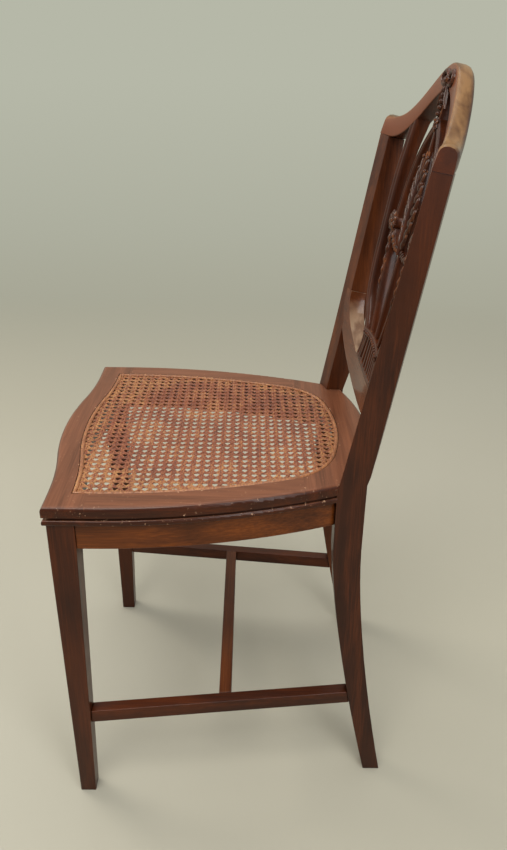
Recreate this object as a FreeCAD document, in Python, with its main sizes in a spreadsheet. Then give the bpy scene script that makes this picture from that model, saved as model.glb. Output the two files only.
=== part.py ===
import FreeCAD, Part
import Sketcher
import math
import os
from FreeCAD import Placement, Rotation, Vector

# Shield back side chair with a caned seat.
# Millimetres, +Z up. The chair faces -Y, and the sitter's left is +X.
# The origin is on the floor, at the middle of the chair's footprint.

SIZES = {
    # Caned seat frame with its moulded edge
    "seat_height": 450.0,
    "frame_thickness": 24.0,
    "seat_half_width": 201.0,
    "seat_half_rear": 148.0,
    "front_bulge": 16.0,
    "front_wave_half": 165.0,
    "rear_bulge": 22.0,
    "rear_set": 2.0,
    "front_member_depth": 47.0,
    "rear_joint_depth": 288.0,
    "rim_front": 36.0,
    "rim_side": 38.0,
    "rim_rear": 50.0,
    "cane_corner_radius": 77.0,
    "cane_rear_radius": 292.0,
    "top_round": 5.0,
    "bead_height": 7.0,
    "bead_round": 2.5,
    "quirk_depth": 3.5,
    "quirk_height": 4.0,
    # Cane panel in its rebate, and the spline that holds its edge
    "rebate_depth": 3.0,
    "rebate_width": 8.0,
    "cane_thickness": 1.6,
    "cane_margin": 6.0,
    "spline_width": 3.6,
    "spline_height": 2.4,
    "net_pitch": 18.5,
    "net_hole": 11.0,
    "net_edge": 5.0,
    # Rails under the seat frame
    "rail_height": 33.5,
    "rail_thickness": 18.0,
    "rail_inset": 6.0,
    "rear_rail_depth": 338.0,
    "tenon_length": 13.0,
    "tenon_thickness": 7.0,
    "tenon_shoulder": 5.0,
    "fit_gap": 0.2,
    # Front legs
    "leg_inset": 3.5,
    "leg_top": 31.0,
    "leg_foot": 20.0,
    "foot_drift": 2.0,
    "leg_edge": 1.2,
    # Rear posts
    "post_front": 326.0,
    "post_depth": 34.0,
    "post_foot_depth": 22.0,
    "rear_foot_sweep": 62.0,
    "sweep_start": 360.0,
    "post_outer_seat": 147.0,
    "post_outer_foot": 157.0,
    "post_outer_top": 160.0,
    "post_width_seat": 24.0,
    "post_width_foot": 20.0,
    "post_width_top": 21.0,
    # Shield back, in a frame that leans back from the seat
    "shield_depth": 323.2,
    "rake_angle": 10.8,
    "rear_rake_angle": 8.9,
    "back_bow": 30.0,
    "back_thickness": 20.0,
    "post_top": 353.0,
    "horn_height": 378.0,
    "crest_rise": 70.0,
    "crest_wave_half": 142.0,
    "crest_depth_middle": 27.5,
    "base_joint_height": 151.0,
    "base_inner_half": 127.0,
    "base_inner_drop": 70.0,
    "base_outer_half": 147.0,
    "base_outer_drop": 104.0,
    # Pierced splat
    "splat_thickness": 14.0,
    "splat_recess": 0.0,
    "rib_width": 13.0,
    "rib_top_half": 84.0,
    "rib_wide_half": 91.0,
    "rib_wide_height": 318.0,
    "rib_middle_half": 88.0,
    "rib_low_half": 76.0,
    "rib_low_height": 165.0,
    "rib_neck_half": 49.0,
    "rib_foot_half": 54.0,
    "arch_width": 9.0,
    "arch_top": 388.0,
    "arch_half": 51.0,
    "rosette_height": 266.0,
    "rosette_radius": 13.0,
    "rosette_half": 62.0,
    "neck_height": 128.0,
    "neck_half": 50.0,
    "plume_top": 356.0,
    "plume_bottom": 238.0,
    "plume_half": 22.0,
    "stem_width": 8.0,
    "back_tenon": 10.0,
    # Stretchers
    "stretcher_top": 138.5,
    "stretcher_height": 18.5,
    "stretcher_width": 16.0,
    "stretcher_half_front": 183.0,
    "stretcher_half_rear": 144.0,
    "cross_depth": 197.5,
    # Corner blocks, dowels and screws
    "block_reach": 50.0,
    "block_height": 24.0,
    "dowel_diameter": 8.0,
    "dowel_length": 36.0,
    "screw_diameter": 4.0,
    "screw_head": 8.0,
    "screw_head_height": 3.0,
    "screw_length": 34.0,
    "screw_bite": 14.0,
    "front_screw_half": 80.0,
    "rear_screw_half": 60.0,
    "side_screw_first": 140.0,
    "side_screw_second": 240.0,
}


def back_reach(sizes):
    """Depth of the crest's rear face behind the seat's front corners."""
    lean = math.radians(sizes["rake_angle"])
    depth = sizes["back_bow"] + sizes["back_thickness"]
    height = sizes["horn_height"] + sizes["crest_rise"]
    return sizes["shield_depth"] + height * math.sin(lean) + depth * math.cos(lean)


# The footprint runs from the seat's bulging front to the back of the crest.
SIZES["front_y"] = (SIZES["front_bulge"] - back_reach(SIZES)) / 2.0

doc = FreeCAD.newDocument("shield_back_chair")
sheet = doc.addObject("Spreadsheet::Sheet", "Sizes")
for row, (alias, value) in enumerate(SIZES.items(), start=1):
    sheet.set("A%d" % row, alias.replace("_", " "))
    sheet.set("B%d" % row, repr(round(value, 4)))
    sheet.setAlias("B%d" % row, alias)
doc.recompute()


def size(alias):
    """A driving dimension, read back from the sheet."""
    return float(sheet.get(alias))


# Places that several pieces share
FRONT_Y = size("front_y")
SEAT_TOP = size("seat_height")
FRAME_LOW = SEAT_TOP - size("frame_thickness")
RAIL_LOW = FRAME_LOW - size("rail_height")
HALF_WIDTH = size("seat_half_width")
LEG_TOP = size("leg_top")
RAIL_OUT = size("rail_inset")
RAIL_IN = size("rail_inset") + size("rail_thickness")
LEG_INNER_X = HALF_WIDTH - size("leg_inset") - LEG_TOP
LEG_BACK_Y = FRONT_Y + size("leg_inset") + LEG_TOP
POST_Y = FRONT_Y + size("post_front")
BOW = size("back_bow")
BOW_RADIUS = (size("post_outer_top") ** 2 + BOW ** 2) / (2.0 * BOW)
WAVE_RADIUS = (size("front_wave_half") ** 2 / 4.0 + size("front_bulge") ** 2 / 4.0) / size("front_bulge")

FRAME_TOP_Z = "Sizes.seat_height"
FRAME_LOW_Z = "(Sizes.seat_height - Sizes.frame_thickness)"
RAIL_LOW_Z = "(Sizes.seat_height - Sizes.frame_thickness - Sizes.rail_height)"

LEAN_RADIANS = math.radians(size("rake_angle"))
LEAN_FRAME = Placement(
    Vector(0, FRONT_Y + size("shield_depth"), SEAT_TOP),
    Rotation(Vector(1, 0, 0), -size("rake_angle")),
)

finished = []


def publish(obj, label):
    """Give a finished sub-part its name and put it on the list to export."""
    obj.Label = label
    finished.append(obj)
    return obj


# Sketches


def new_body(name):
    return doc.addObject("PartDesign::Body", name)


def add_sketch(body, role, offset="0", frame=None):
    """A sketch on one of the body's own planes, moved along its normal or put in a frame."""
    sketch = body.newObject("Sketcher::SketchObject", body.Name + "_sketch")
    plane = next(item for item in body.Origin.OriginFeatures if item.Role == role)
    sketch.AttachmentSupport = (plane, "")
    sketch.MapMode = "FlatFace"
    if frame is None:
        sketch.setExpression("AttachmentOffset.Base.z", offset)
    else:
        sketch.AttachmentOffset = frame
    sketch.Visibility = False
    return sketch


def lines(sketch, points, closed=False):
    ends = points[1:] + points[:1] if closed else points[1:]
    for start, end in zip(points, ends):
        sketch.addGeometry(Part.LineSegment(Vector(*start, 0), Vector(*end, 0)), False)


def arc(sketch, start, middle, end):
    sketch.addGeometry(Part.Arc(Vector(*start, 0), Vector(*middle, 0), Vector(*end, 0)), False)


def spline(sketch, points, first=None, last=None):
    """A smooth curve through the points, with its end directions where they are given."""
    curve = Part.BSplineCurve()
    places = [Vector(*point, 0) for point in points]
    if first is None:
        curve.interpolate(places)
    else:
        curve.interpolate(places, InitialTangent=Vector(*first, 0), FinalTangent=Vector(*last, 0))
    sketch.addGeometry(curve, False)


def rectangle(sketch, left, right, low, high):
    """A rectangle with its four sides bound to expressions of the sheet's sizes."""
    first = sketch.GeometryCount
    lines(sketch, [(0, 0), (1, 0), (1, 1), (0, 1)], closed=True)
    for index in range(4):
        following = first + (index + 1) % 4
        sketch.addConstraint(Sketcher.Constraint("Coincident", first + index, 2, following, 1))
        kind = "Horizontal" if index % 2 == 0 else "Vertical"
        sketch.addConstraint(Sketcher.Constraint(kind, first + index))
    places = (("DistanceX", 0, left), ("DistanceY", 0, low), ("DistanceX", 2, right), ("DistanceY", 2, high))
    for kind, line, text in places:
        number = sketch.addConstraint(Sketcher.Constraint(kind, -1, 1, first + line, 1, 1.0))
        sketch.setExpression("Constraints[%d]" % number, text)


# Features


def pad(body, sketch, length, reverse=False, both=False):
    feature = body.newObject("PartDesign::Pad", body.Name + "_pad")
    feature.Profile = sketch
    feature.setExpression("Length", length)
    feature.Reversed = reverse
    feature.Midplane = both
    return feature


def pocket(body, sketch, length=None, reverse=False):
    """A cut of the given depth, or right through both ways when no depth is given."""
    feature = body.newObject("PartDesign::Pocket", body.Name + "_cut")
    feature.Profile = sketch
    feature.Reversed = reverse
    if length is None:
        feature.Type = 1
        feature.Midplane = True
    else:
        feature.setExpression("Length", length)
    return feature


def round_edges(body, radius, test):
    """Round the edges of the body's last feature that pass the test."""
    doc.recompute()
    base = body.Tip
    names = ["Edge%d" % (i + 1) for i, edge in enumerate(base.Shape.Edges) if test(edge)]
    feature = body.newObject("PartDesign::Fillet", body.Name + "_round")
    feature.Base = (base, names)
    feature.setExpression("Radius", radius)
    return feature


def middle_of(edge):
    return edge.valueAt((edge.FirstParameter + edge.LastParameter) / 2.0)


def box(name, x_range, y_range, z_range, grow="0"):
    """A box between pairs of expressions, grown all round by a clearance."""
    item = doc.addObject("Part::Box", name)
    for side, axis, (low, high) in zip(("Length", "Width", "Height"), "xyz", (x_range, y_range, z_range)):
        item.setExpression(side, "(%s) - (%s) + 2 * (%s)" % (high, low, grow))
        item.setExpression("Placement.Base.%s" % axis, "(%s) - (%s)" % (low, grow))
    return item


def lean_box(name, x_range, y_range, z_range, grow=0.0):
    """A box in the shield's leaning frame, between pairs of sizes."""
    item = doc.addObject("Part::Box", name)
    ranges = (x_range, y_range, z_range)
    item.Length, item.Width, item.Height = [high - low + 2.0 * grow for low, high in ranges]
    corner = Vector(*[low - grow for low, high in ranges])
    item.Placement = LEAN_FRAME.multiply(Placement(corner, Rotation()))
    return item


def rod(name, place, direction, diameter, length):
    """A round rod from a place along a direction, its sizes bound to expressions."""
    item = doc.addObject("Part::Cylinder", name)
    item.setExpression("Radius", "(%s) / 2" % diameter)
    item.setExpression("Height", length)
    item.Placement = Placement(place, Rotation(Vector(0, 0, 1), direction))
    return item


def take(name, base, tools):
    """The base without its tools."""
    result = doc.addObject("Part::Cut", name)
    result.Base = base
    result.Tool = group(name + "_tools", tools) if len(tools) > 1 else tools[0]
    return result


def join(name, items):
    result = doc.addObject("Part::MultiFuse", name)
    result.Shapes = items
    return result


def group(name, items):
    result = doc.addObject("Part::Compound", name)
    result.Links = items
    return result


def mirrored(source, label):
    """The same piece on the sitter's right."""
    result = doc.addObject("Part::Mirroring", label)
    result.Source = source
    result.Normal = Vector(1, 0, 0)
    return result


# Outlines of the seat, seen from above


def wave_y(x, shift=0.0):
    """Front edge of the seat at a station across it, moved back by a shift."""
    x = abs(x)
    half = size("front_wave_half")
    if x >= half:
        drop = 0.0
    elif x >= half / 2.0:
        drop = WAVE_RADIUS - math.sqrt(WAVE_RADIUS ** 2 - (half - x) ** 2)
    else:
        drop = size("front_bulge") - WAVE_RADIUS + math.sqrt(WAVE_RADIUS ** 2 - x ** 2)
    return FRONT_Y - drop + shift


def wave(sketch, reach, shift):
    """The serpentine front edge, from -reach to reach, as arcs that run into each other."""
    half = size("front_wave_half")
    turn = half / 2.0
    end = min(reach, half)
    lower = (end + turn) / 2.0
    if reach > half:
        lines(sketch, [(-reach, wave_y(reach, shift)), (-half, wave_y(half, shift))])
    stations = [(-end, -lower, -turn), (-turn, 0.0, turn), (turn, lower, end)]
    for trio in stations:
        arc(sketch, *[(x, wave_y(x, shift)) for x in trio])
    if reach > half:
        lines(sketch, [(half, wave_y(half, shift)), (reach, wave_y(reach, shift))])


SIDE_START_Y = FRONT_Y + size("front_member_depth")
SIDE_RUN = POST_Y - SIDE_START_Y
SIDE_IN = HALF_WIDTH - size("seat_half_rear")
SIDE_RADIUS = (SIDE_RUN ** 2 + SIDE_IN ** 2) / (2.0 * SIDE_IN)
SIDE_CENTRE_X = HALF_WIDTH - SIDE_RADIUS


def side_x(y, inset=0.0):
    """Half width of the seat at a depth, drawn in by an inset."""
    if y <= SIDE_START_Y:
        return HALF_WIDTH - inset
    return SIDE_CENTRE_X + math.sqrt((SIDE_RADIUS - inset) ** 2 - (y - SIDE_START_Y) ** 2)


def side_arc(sketch, start_y, end_y, inset, hand=1):
    places = [(hand * side_x(y, inset), y) for y in (start_y, (start_y + end_y) / 2.0, end_y)]
    arc(sketch, *places)


def rear_y(x, inset=0.0):
    """Rear edge of the seat between the posts."""
    half = size("post_outer_seat") - size("post_width_seat")
    bulge = size("rear_bulge")
    radius = (half ** 2 + bulge ** 2) / (2.0 * bulge)
    tip = POST_Y + size("post_depth") + bulge - size("rear_set")
    return tip - radius + math.sqrt((radius - inset) ** 2 - x ** 2)


def round_the_posts(sketch, inset):
    """The rear edge of the seat, its corners cut off inside the posts."""
    middle = size("post_outer_seat") - size("post_width_seat") / 2.0
    rear = [(x, rear_y(x, inset)) for x in (middle, 0.0, -middle)]
    for hand in (1, -1):
        lines(sketch, [(hand * side_x(POST_Y, inset), POST_Y),
                       (hand * middle, POST_Y + size("post_depth") / 2.0), (hand * middle, rear[0][1])])
    arc(sketch, *rear)


def seat_outline(sketch, inset):
    """The whole outer edge of the seat, drawn in by an inset."""
    half = HALF_WIDTH - inset
    wave(sketch, half, inset)
    for hand in (1, -1):
        lines(sketch, [(hand * half, FRONT_Y + inset), (hand * half, SIDE_START_Y)])
        side_arc(sketch, SIDE_START_Y, POST_Y, inset, hand)
    round_the_posts(sketch, inset)


def corner_centre(grow):
    """Centre of the arc that rounds a rear corner of the cane opening."""
    round_radius = size("cane_corner_radius") + grow
    side_reach = SIDE_RADIUS - size("rim_side") + grow - round_radius
    rear_reach = size("cane_rear_radius") + grow - round_radius
    rear_centre_y = CANE_REAR_Y - size("cane_rear_radius")
    across = -SIDE_CENTRE_X
    along = rear_centre_y - SIDE_START_Y
    span = math.hypot(across, along)
    ahead = (side_reach ** 2 - rear_reach ** 2 + span ** 2) / (2.0 * span)
    aside = math.sqrt(side_reach ** 2 - ahead ** 2)
    unit = (across / span, along / span)
    x = SIDE_CENTRE_X + ahead * unit[0] - aside * unit[1]
    y = SIDE_START_Y + ahead * unit[1] + aside * unit[0]
    return x, y


CANE_REAR_Y = POST_Y + size("post_depth") + size("rear_bulge") - size("rim_rear")


def cane_outline(sketch, grow):
    """Edge of the caned opening, grown outwards by a margin."""
    inset = size("rim_side") - grow
    half = HALF_WIDTH - inset
    shift = size("rim_front") - grow
    round_radius = size("cane_corner_radius") + grow
    rear_radius = size("cane_rear_radius") + grow
    rear_centre_y = CANE_REAR_Y - size("cane_rear_radius")
    centre = corner_centre(grow)
    from_side = (centre[0] - SIDE_CENTRE_X, centre[1] - SIDE_START_Y)
    from_rear = (centre[0], centre[1] - rear_centre_y)
    start_angle = math.atan2(from_side[1], from_side[0])
    end_angle = math.atan2(from_rear[1], from_rear[0])
    angles = (start_angle, (start_angle + end_angle) / 2.0, end_angle)
    corner = [(centre[0] + round_radius * math.cos(a), centre[1] + round_radius * math.sin(a)) for a in angles]
    wave(sketch, half, shift)
    for hand in (1, -1):
        bend = [(hand * x, y) for x, y in corner]
        lines(sketch, [(hand * half, wave_y(half, shift)), (hand * half, SIDE_START_Y)])
        side_arc(sketch, SIDE_START_Y, bend[0][1], inset, hand)
        arc(sketch, *bend)
    last = corner[2]
    arc(sketch, (last[0], last[1]), (0.0, rear_centre_y + rear_radius), (-last[0], last[1]))


def on_seat_edge(point):
    """Whether a point lies on the seat's outer edge."""
    x, y = abs(point.x), point.y
    near = 0.05
    on_front = x <= HALF_WIDTH + near and abs(y - wave_y(x)) < near
    on_side = y <= POST_Y + near and abs(x - side_x(y)) < near
    on_rear = y > POST_Y + near and abs(y - rear_y(x)) < near
    return on_front or on_side or on_rear


# Seat frame


def seat_member(name, draw):
    """One member of the seat frame: its plan, the cane opening, the rebate and the moulded edge."""
    body = new_body(name)
    plan = add_sketch(body, "XY_Plane", FRAME_LOW_Z)
    draw(plan)
    pad(body, plan, "Sizes.frame_thickness")
    opening = add_sketch(body, "XY_Plane", FRAME_TOP_Z)
    cane_outline(opening, 0.0)
    pocket(body, opening)
    rebate = add_sketch(body, "XY_Plane", FRAME_TOP_Z)
    cane_outline(rebate, size("rebate_width"))
    pocket(body, rebate, "Sizes.rebate_depth")
    quirk = add_sketch(body, "XY_Plane", FRAME_LOW_Z + " + Sizes.bead_height + Sizes.quirk_height")
    far = 2.0 * HALF_WIDTH
    lines(quirk, [(-far, -far), (far, -far), (far, far), (-far, far)], closed=True)
    seat_outline(quirk, size("quirk_depth"))
    pocket(body, quirk, "Sizes.quirk_height")
    top = SEAT_TOP
    bead_top = FRAME_LOW + size("bead_height")
    round_edges(body, "Sizes.top_round",
                lambda edge: abs(middle_of(edge).z - top) < 0.01 and on_seat_edge(middle_of(edge)))
    round_edges(body, "Sizes.bead_round",
                lambda edge: min(abs(middle_of(edge).z - level) for level in (FRAME_LOW, bead_top)) < 0.01
                and on_seat_edge(middle_of(edge)))
    return body


def front_plan(sketch):
    wave(sketch, HALF_WIDTH, 0.0)
    lines(sketch, [(HALF_WIDTH, FRONT_Y), (HALF_WIDTH, SIDE_START_Y),
                   (-HALF_WIDTH, SIDE_START_Y), (-HALF_WIDTH, FRONT_Y)])


REAR_SEAM_Y = FRONT_Y + size("rear_joint_depth")


def side_plan(sketch):
    inner = HALF_WIDTH - 2.5 * size("rim_side")
    side_arc(sketch, SIDE_START_Y, REAR_SEAM_Y, 0.0)
    lines(sketch, [(side_x(REAR_SEAM_Y), REAR_SEAM_Y), (inner, REAR_SEAM_Y),
                   (inner, SIDE_START_Y), (HALF_WIDTH, SIDE_START_Y)])


def rear_plan(sketch):
    """The rear member runs in between the posts, and its ends run into them."""
    for hand in (1, -1):
        side_arc(sketch, REAR_SEAM_Y, POST_Y, 0.0, hand)
    round_the_posts(sketch, 0.0)
    lines(sketch, [(side_x(REAR_SEAM_Y), REAR_SEAM_Y), (-side_x(REAR_SEAM_Y), REAR_SEAM_Y)])


# Rear posts: a bandsawn side profile, trimmed to its width and to the bow of the back

SWEEP_STATIONS = 7
SWEEP_POWER = 1.4


def sweep_back(z):
    """How far the rear leg stands behind its place at the seat."""
    start = size("sweep_start")
    if z >= start:
        return 0.0
    return size("rear_foot_sweep") * (1.0 - z / start) ** SWEEP_POWER


def leg_front_y(z):
    return POST_Y + sweep_back(z)


def leg_rear_y(z):
    share = min(z / size("sweep_start"), 1.0)
    depth = size("post_foot_depth") + (size("post_depth") - size("post_foot_depth")) * share
    return leg_front_y(z) + depth


def post_profile(sketch):
    """Side view of a post, Y across and Z up, with the back's face left full for the bow."""
    start = size("sweep_start")
    levels = [start * step / (SWEEP_STATIONS - 1) for step in range(SWEEP_STATIONS)]
    spline(sketch, [(leg_front_y(z), z) for z in levels])
    spline(sketch, [(leg_rear_y(z), z) for z in levels])
    lines(sketch, [(leg_front_y(0), 0), (leg_rear_y(0), 0)])
    lean_start = SEAT_TOP + (size("post_front") - size("shield_depth")) / math.tan(LEAN_RADIANS)
    front_top = LEAN_FRAME.multVec(Vector(0, 0, size("post_top")))
    rear_top = LEAN_FRAME.multVec(Vector(0, 2.0 * size("post_depth"), size("post_top")))
    rear_start = POST_Y + size("post_depth")
    lines(sketch, [(POST_Y, start), (POST_Y, lean_start), (front_top.y, front_top.z),
                   (rear_top.y, rear_top.z), (rear_start, SEAT_TOP), (rear_start, start)])


def post_outer_x(z):
    """Outer side of a post, bowed in at the seat."""
    if z <= SEAT_TOP:
        return size("post_outer_foot") + (size("post_outer_seat") - size("post_outer_foot")) * z / SEAT_TOP
    share = (z - SEAT_TOP) / size("horn_height")
    return size("post_outer_seat") + (size("post_outer_top") - size("post_outer_seat")) * share


def post_width(z):
    seat = size("post_width_seat")
    if z <= SEAT_TOP:
        return size("post_width_foot") + (seat - size("post_width_foot")) * z / SEAT_TOP
    return seat + (size("post_width_top") - seat) * (z - SEAT_TOP) / size("horn_height")


def bow_y(x, extra=0.0):
    """Depth of the bowed face at a station across the back, in the leaning frame."""
    return BOW - BOW_RADIUS + math.sqrt((BOW_RADIUS + extra) ** 2 - x ** 2)


def bow_front_cut(sketch, recess):
    """Everything in front of the bowed face."""
    reach = size("post_outer_top") + 30.0
    front = -2.0 * BOW
    stations = (-reach, 0.0, reach)
    arc(sketch, *[(x, bow_y(x, recess)) for x in stations])
    end = bow_y(reach, recess)
    lines(sketch, [(reach, end), (reach, front), (-reach, front), (-reach, end)])


def bow_rear_cut(sketch, thickness):
    """Everything behind the bowed back."""
    reach = size("post_outer_top") + 30.0
    rear = 6.0 * BOW
    arc(sketch, *[(x, bow_y(x, thickness)) for x in (-reach, 0.0, reach)])
    end = bow_y(reach, thickness)
    lines(sketch, [(reach, end), (reach, rear), (-reach, rear), (-reach, end)])


def build_post_blank():
    body = new_body("rear_post_blank")
    side = add_sketch(body, "YZ_Plane", "Sizes.post_outer_seat - 2 * Sizes.post_width_seat")
    post_profile(side)
    pad(body, side, "4 * Sizes.post_width_seat")
    face = add_sketch(body, "XZ_Plane")
    top = SEAT_TOP + size("horn_height")
    levels = (0.0, SEAT_TOP / 2.0, SEAT_TOP, (SEAT_TOP + top) / 2.0, top)
    outer = [(post_outer_x(z), z) for z in levels]
    inner = [(post_outer_x(z) - post_width(z), z) for z in levels]
    low, high, far = -50.0, top + 50.0, 2.0 * HALF_WIDTH
    spline(face, outer)
    spline(face, inner)
    lines(face, [outer[0], inner[0]])
    lines(face, [outer[-1], inner[-1]])
    lines(face, [(0, low), (far, low), (far, high), (0, high)], closed=True)
    pocket(body, face)
    low_offset = Placement(Vector(0, 0, -size("frame_thickness") / math.cos(LEAN_RADIANS)), Rotation())
    front = add_sketch(body, "XY_Plane", frame=LEAN_FRAME.multiply(low_offset))
    bow_front_cut(front, 0.0)
    pocket(body, front, "2 * Sizes.post_top", reverse=True)
    top_place = LEAN_FRAME.multVec(Vector(0, 0, size("post_top")))
    rear_frame = Placement(top_place, Rotation(Vector(1, 0, 0), -size("rear_rake_angle")))
    rear = add_sketch(body, "XY_Plane", frame=rear_frame)
    bow_rear_cut(rear, size("back_thickness"))
    pocket(body, rear, "Sizes.post_top")
    return body


# Fits between the pieces, as pairs of expressions along X, Y and Z

SEAT_FRONT = "Sizes.front_y"
LEG_INNER = "Sizes.seat_half_width - Sizes.leg_inset - Sizes.leg_top"
LEG_BACK = SEAT_FRONT + " + Sizes.leg_inset + Sizes.leg_top"
LEG_MIDDLE_X = "Sizes.seat_half_width - Sizes.leg_inset - Sizes.leg_top / 2"
POST_FACE = SEAT_FRONT + " + Sizes.post_front"
POST_INNER = "Sizes.post_outer_seat - Sizes.post_width_seat"
POST_MIDDLE_X = "Sizes.post_outer_seat - Sizes.post_width_seat / 2"
RAIL_TENON_Z = (RAIL_LOW_Z + " + Sizes.tenon_shoulder", FRAME_LOW_Z + " - Sizes.tenon_shoulder")
HALF_TENON = "Sizes.tenon_thickness / 2"
ROOT = "Sizes.tenon_shoulder"

FRONT_TENON = (
    (LEG_INNER + " - " + ROOT, LEG_INNER + " + Sizes.tenon_length"),
    (SEAT_FRONT + " + Sizes.rail_inset + Sizes.tenon_shoulder - 2",
     SEAT_FRONT + " + Sizes.rail_inset + Sizes.tenon_shoulder - 2 + Sizes.tenon_thickness"),
    RAIL_TENON_Z,
)
SIDE_FRONT_TENON = (
    (LEG_MIDDLE_X + " - " + HALF_TENON, LEG_MIDDLE_X + " + " + HALF_TENON),
    (LEG_BACK + " - Sizes.tenon_length", LEG_BACK + " + " + ROOT),
    RAIL_TENON_Z,
)
SIDE_REAR_TENON = (
    (POST_MIDDLE_X + " - " + HALF_TENON, POST_MIDDLE_X + " + " + HALF_TENON),
    (POST_FACE + " - " + ROOT, POST_FACE + " + Sizes.tenon_length"),
    RAIL_TENON_Z,
)
REAR_RAIL_MIDDLE_Y = SEAT_FRONT + " + Sizes.rear_rail_depth + Sizes.rail_thickness / 2"
REAR_TENON = (
    (POST_INNER + " - " + ROOT, POST_INNER + " + Sizes.tenon_length"),
    (REAR_RAIL_MIDDLE_Y + " - " + HALF_TENON, REAR_RAIL_MIDDLE_Y + " + " + HALF_TENON),
    RAIL_TENON_Z,
)
STRETCHER_TENON_Z = (
    "Sizes.stretcher_top - Sizes.stretcher_height + 3",
    "Sizes.stretcher_top - 3",
)
STRETCHER_FRONT_TENON = (
    ("Sizes.stretcher_half_front - " + HALF_TENON, "Sizes.stretcher_half_front + " + HALF_TENON),
    (SEAT_FRONT + " + Sizes.leg_inset + Sizes.leg_foot - Sizes.tenon_shoulder",
     SEAT_FRONT + " + Sizes.leg_inset + Sizes.leg_foot + 2 * Sizes.tenon_shoulder"),
    STRETCHER_TENON_Z,
)
STRETCHER_REAR_TENON = (
    ("Sizes.stretcher_half_rear - " + HALF_TENON, "Sizes.stretcher_half_rear + " + HALF_TENON),
    (POST_FACE + " + Sizes.rear_foot_sweep / 2 - " + ROOT,
     POST_FACE + " + Sizes.rear_foot_sweep / 2 + Sizes.tenon_length"),
    STRETCHER_TENON_Z,
)
STRETCHER_RUN = "(Sizes.post_front + Sizes.rear_foot_sweep * 0.7 - Sizes.leg_inset - Sizes.leg_foot)"
CROSS_SHARE = "(Sizes.cross_depth - Sizes.leg_inset - Sizes.leg_foot) / " + STRETCHER_RUN
CROSS_X = ("(Sizes.stretcher_half_front + (Sizes.stretcher_half_rear - Sizes.stretcher_half_front) * "
           + CROSS_SHARE + ")")
CROSS_MIDDLE_Y = SEAT_FRONT + " + Sizes.cross_depth"
CROSS_Y = (CROSS_MIDDLE_Y + " - Sizes.stretcher_width / 2", CROSS_MIDDLE_Y + " + Sizes.stretcher_width / 2")
STRETCHER_Z = ("Sizes.stretcher_top - Sizes.stretcher_height", "Sizes.stretcher_top")
CROSS_TENON = (
    (CROSS_X + " - Sizes.stretcher_width / 2 - " + ROOT, CROSS_X + " + Sizes.stretcher_width / 4"),
    (CROSS_MIDDLE_Y + " - " + HALF_TENON, CROSS_MIDDLE_Y + " + " + HALF_TENON),
    STRETCHER_TENON_Z,
)




def build_leg_blank():
    """A square leg that tapers from the rail down, with a little edge broken off."""
    body = new_body("front_leg_blank")
    drift = " + Sizes.foot_drift"
    outer = "Sizes.seat_half_width - Sizes.leg_inset"
    face = SEAT_FRONT + " + Sizes.leg_inset"
    top = add_sketch(body, "XY_Plane", RAIL_LOW_Z)
    rectangle(top, outer + " - Sizes.leg_top", outer, face, face + " + Sizes.leg_top")
    foot = add_sketch(body, "XY_Plane")
    rectangle(foot, outer + " - Sizes.foot_drift - Sizes.leg_foot", outer + " - Sizes.foot_drift",
              face + drift, face + drift + " + Sizes.leg_foot")
    taper = body.newObject("PartDesign::AdditiveLoft", "front_leg_taper")
    taper.Profile = top
    taper.Sections = [foot]
    doc.recompute()
    head = add_sketch(body, "XY_Plane", RAIL_LOW_Z)
    rectangle(head, outer + " - Sizes.leg_top", outer, face, face + " + Sizes.leg_top")
    pad(body, head, "Sizes.rail_height")
    round_edges(body, "Sizes.leg_edge", lambda edge: abs(edge.Vertexes[0].Z - edge.Vertexes[-1].Z) > 20.0)
    return body


def build_front_rail_blank():
    body = new_body("front_rail_blank")
    plan = add_sketch(body, "XY_Plane", RAIL_LOW_Z)
    wave(plan, LEG_INNER_X, RAIL_OUT)
    wave(plan, LEG_INNER_X, RAIL_IN)
    for hand in (1, -1):
        lines(plan, [(hand * LEG_INNER_X, wave_y(LEG_INNER_X, shift)) for shift in (RAIL_OUT, RAIL_IN)])
    pad(body, plan, "Sizes.rail_height")
    return body


def build_side_rail_blank():
    body = new_body("side_rail_blank")
    plan = add_sketch(body, "XY_Plane", RAIL_LOW_Z)
    end = POST_Y
    for inset in (RAIL_OUT, RAIL_IN):
        lines(plan, [(side_x(LEG_BACK_Y, inset), LEG_BACK_Y), (side_x(SIDE_START_Y, inset), SIDE_START_Y)])
        side_arc(plan, SIDE_START_Y, end, inset)
    for y in (LEG_BACK_Y, end):
        lines(plan, [(side_x(y, inset), y) for inset in (RAIL_OUT, RAIL_IN)])
    pad(body, plan, "Sizes.rail_height")
    return body


def build_rear_rail_blank():
    body = new_body("rear_rail_blank")
    plan = add_sketch(body, "XY_Plane", RAIL_LOW_Z)
    reach = POST_INNER + " + Sizes.tenon_shoulder"
    rear = SEAT_FRONT + " + Sizes.rear_rail_depth"
    rectangle(plan, "-(%s)" % reach, reach, rear, rear + " + Sizes.rail_thickness")
    pad(body, plan, "Sizes.rail_height")
    return body


def build_side_stretcher_blank():
    """A straight bar from the front leg back to the rear post, drawing in with the seat."""
    body = new_body("side_stretcher_blank")
    plan = add_sketch(body, "XY_Plane", "Sizes.stretcher_top - Sizes.stretcher_height")
    half = size("stretcher_width") / 2.0
    front = (size("stretcher_half_front"), FRONT_Y + size("leg_inset") + size("leg_foot"))
    rear = (size("stretcher_half_rear"), POST_Y + size("rear_foot_sweep") * 0.7)
    lines(plan, [(front[0] - half, front[1]), (front[0] + half, front[1]),
                 (rear[0] + half, rear[1]), (rear[0] - half, rear[1])], closed=True)
    pad(body, plan, "Sizes.stretcher_height")
    return body


# Shield back, drawn upright in the leaning frame


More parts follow.
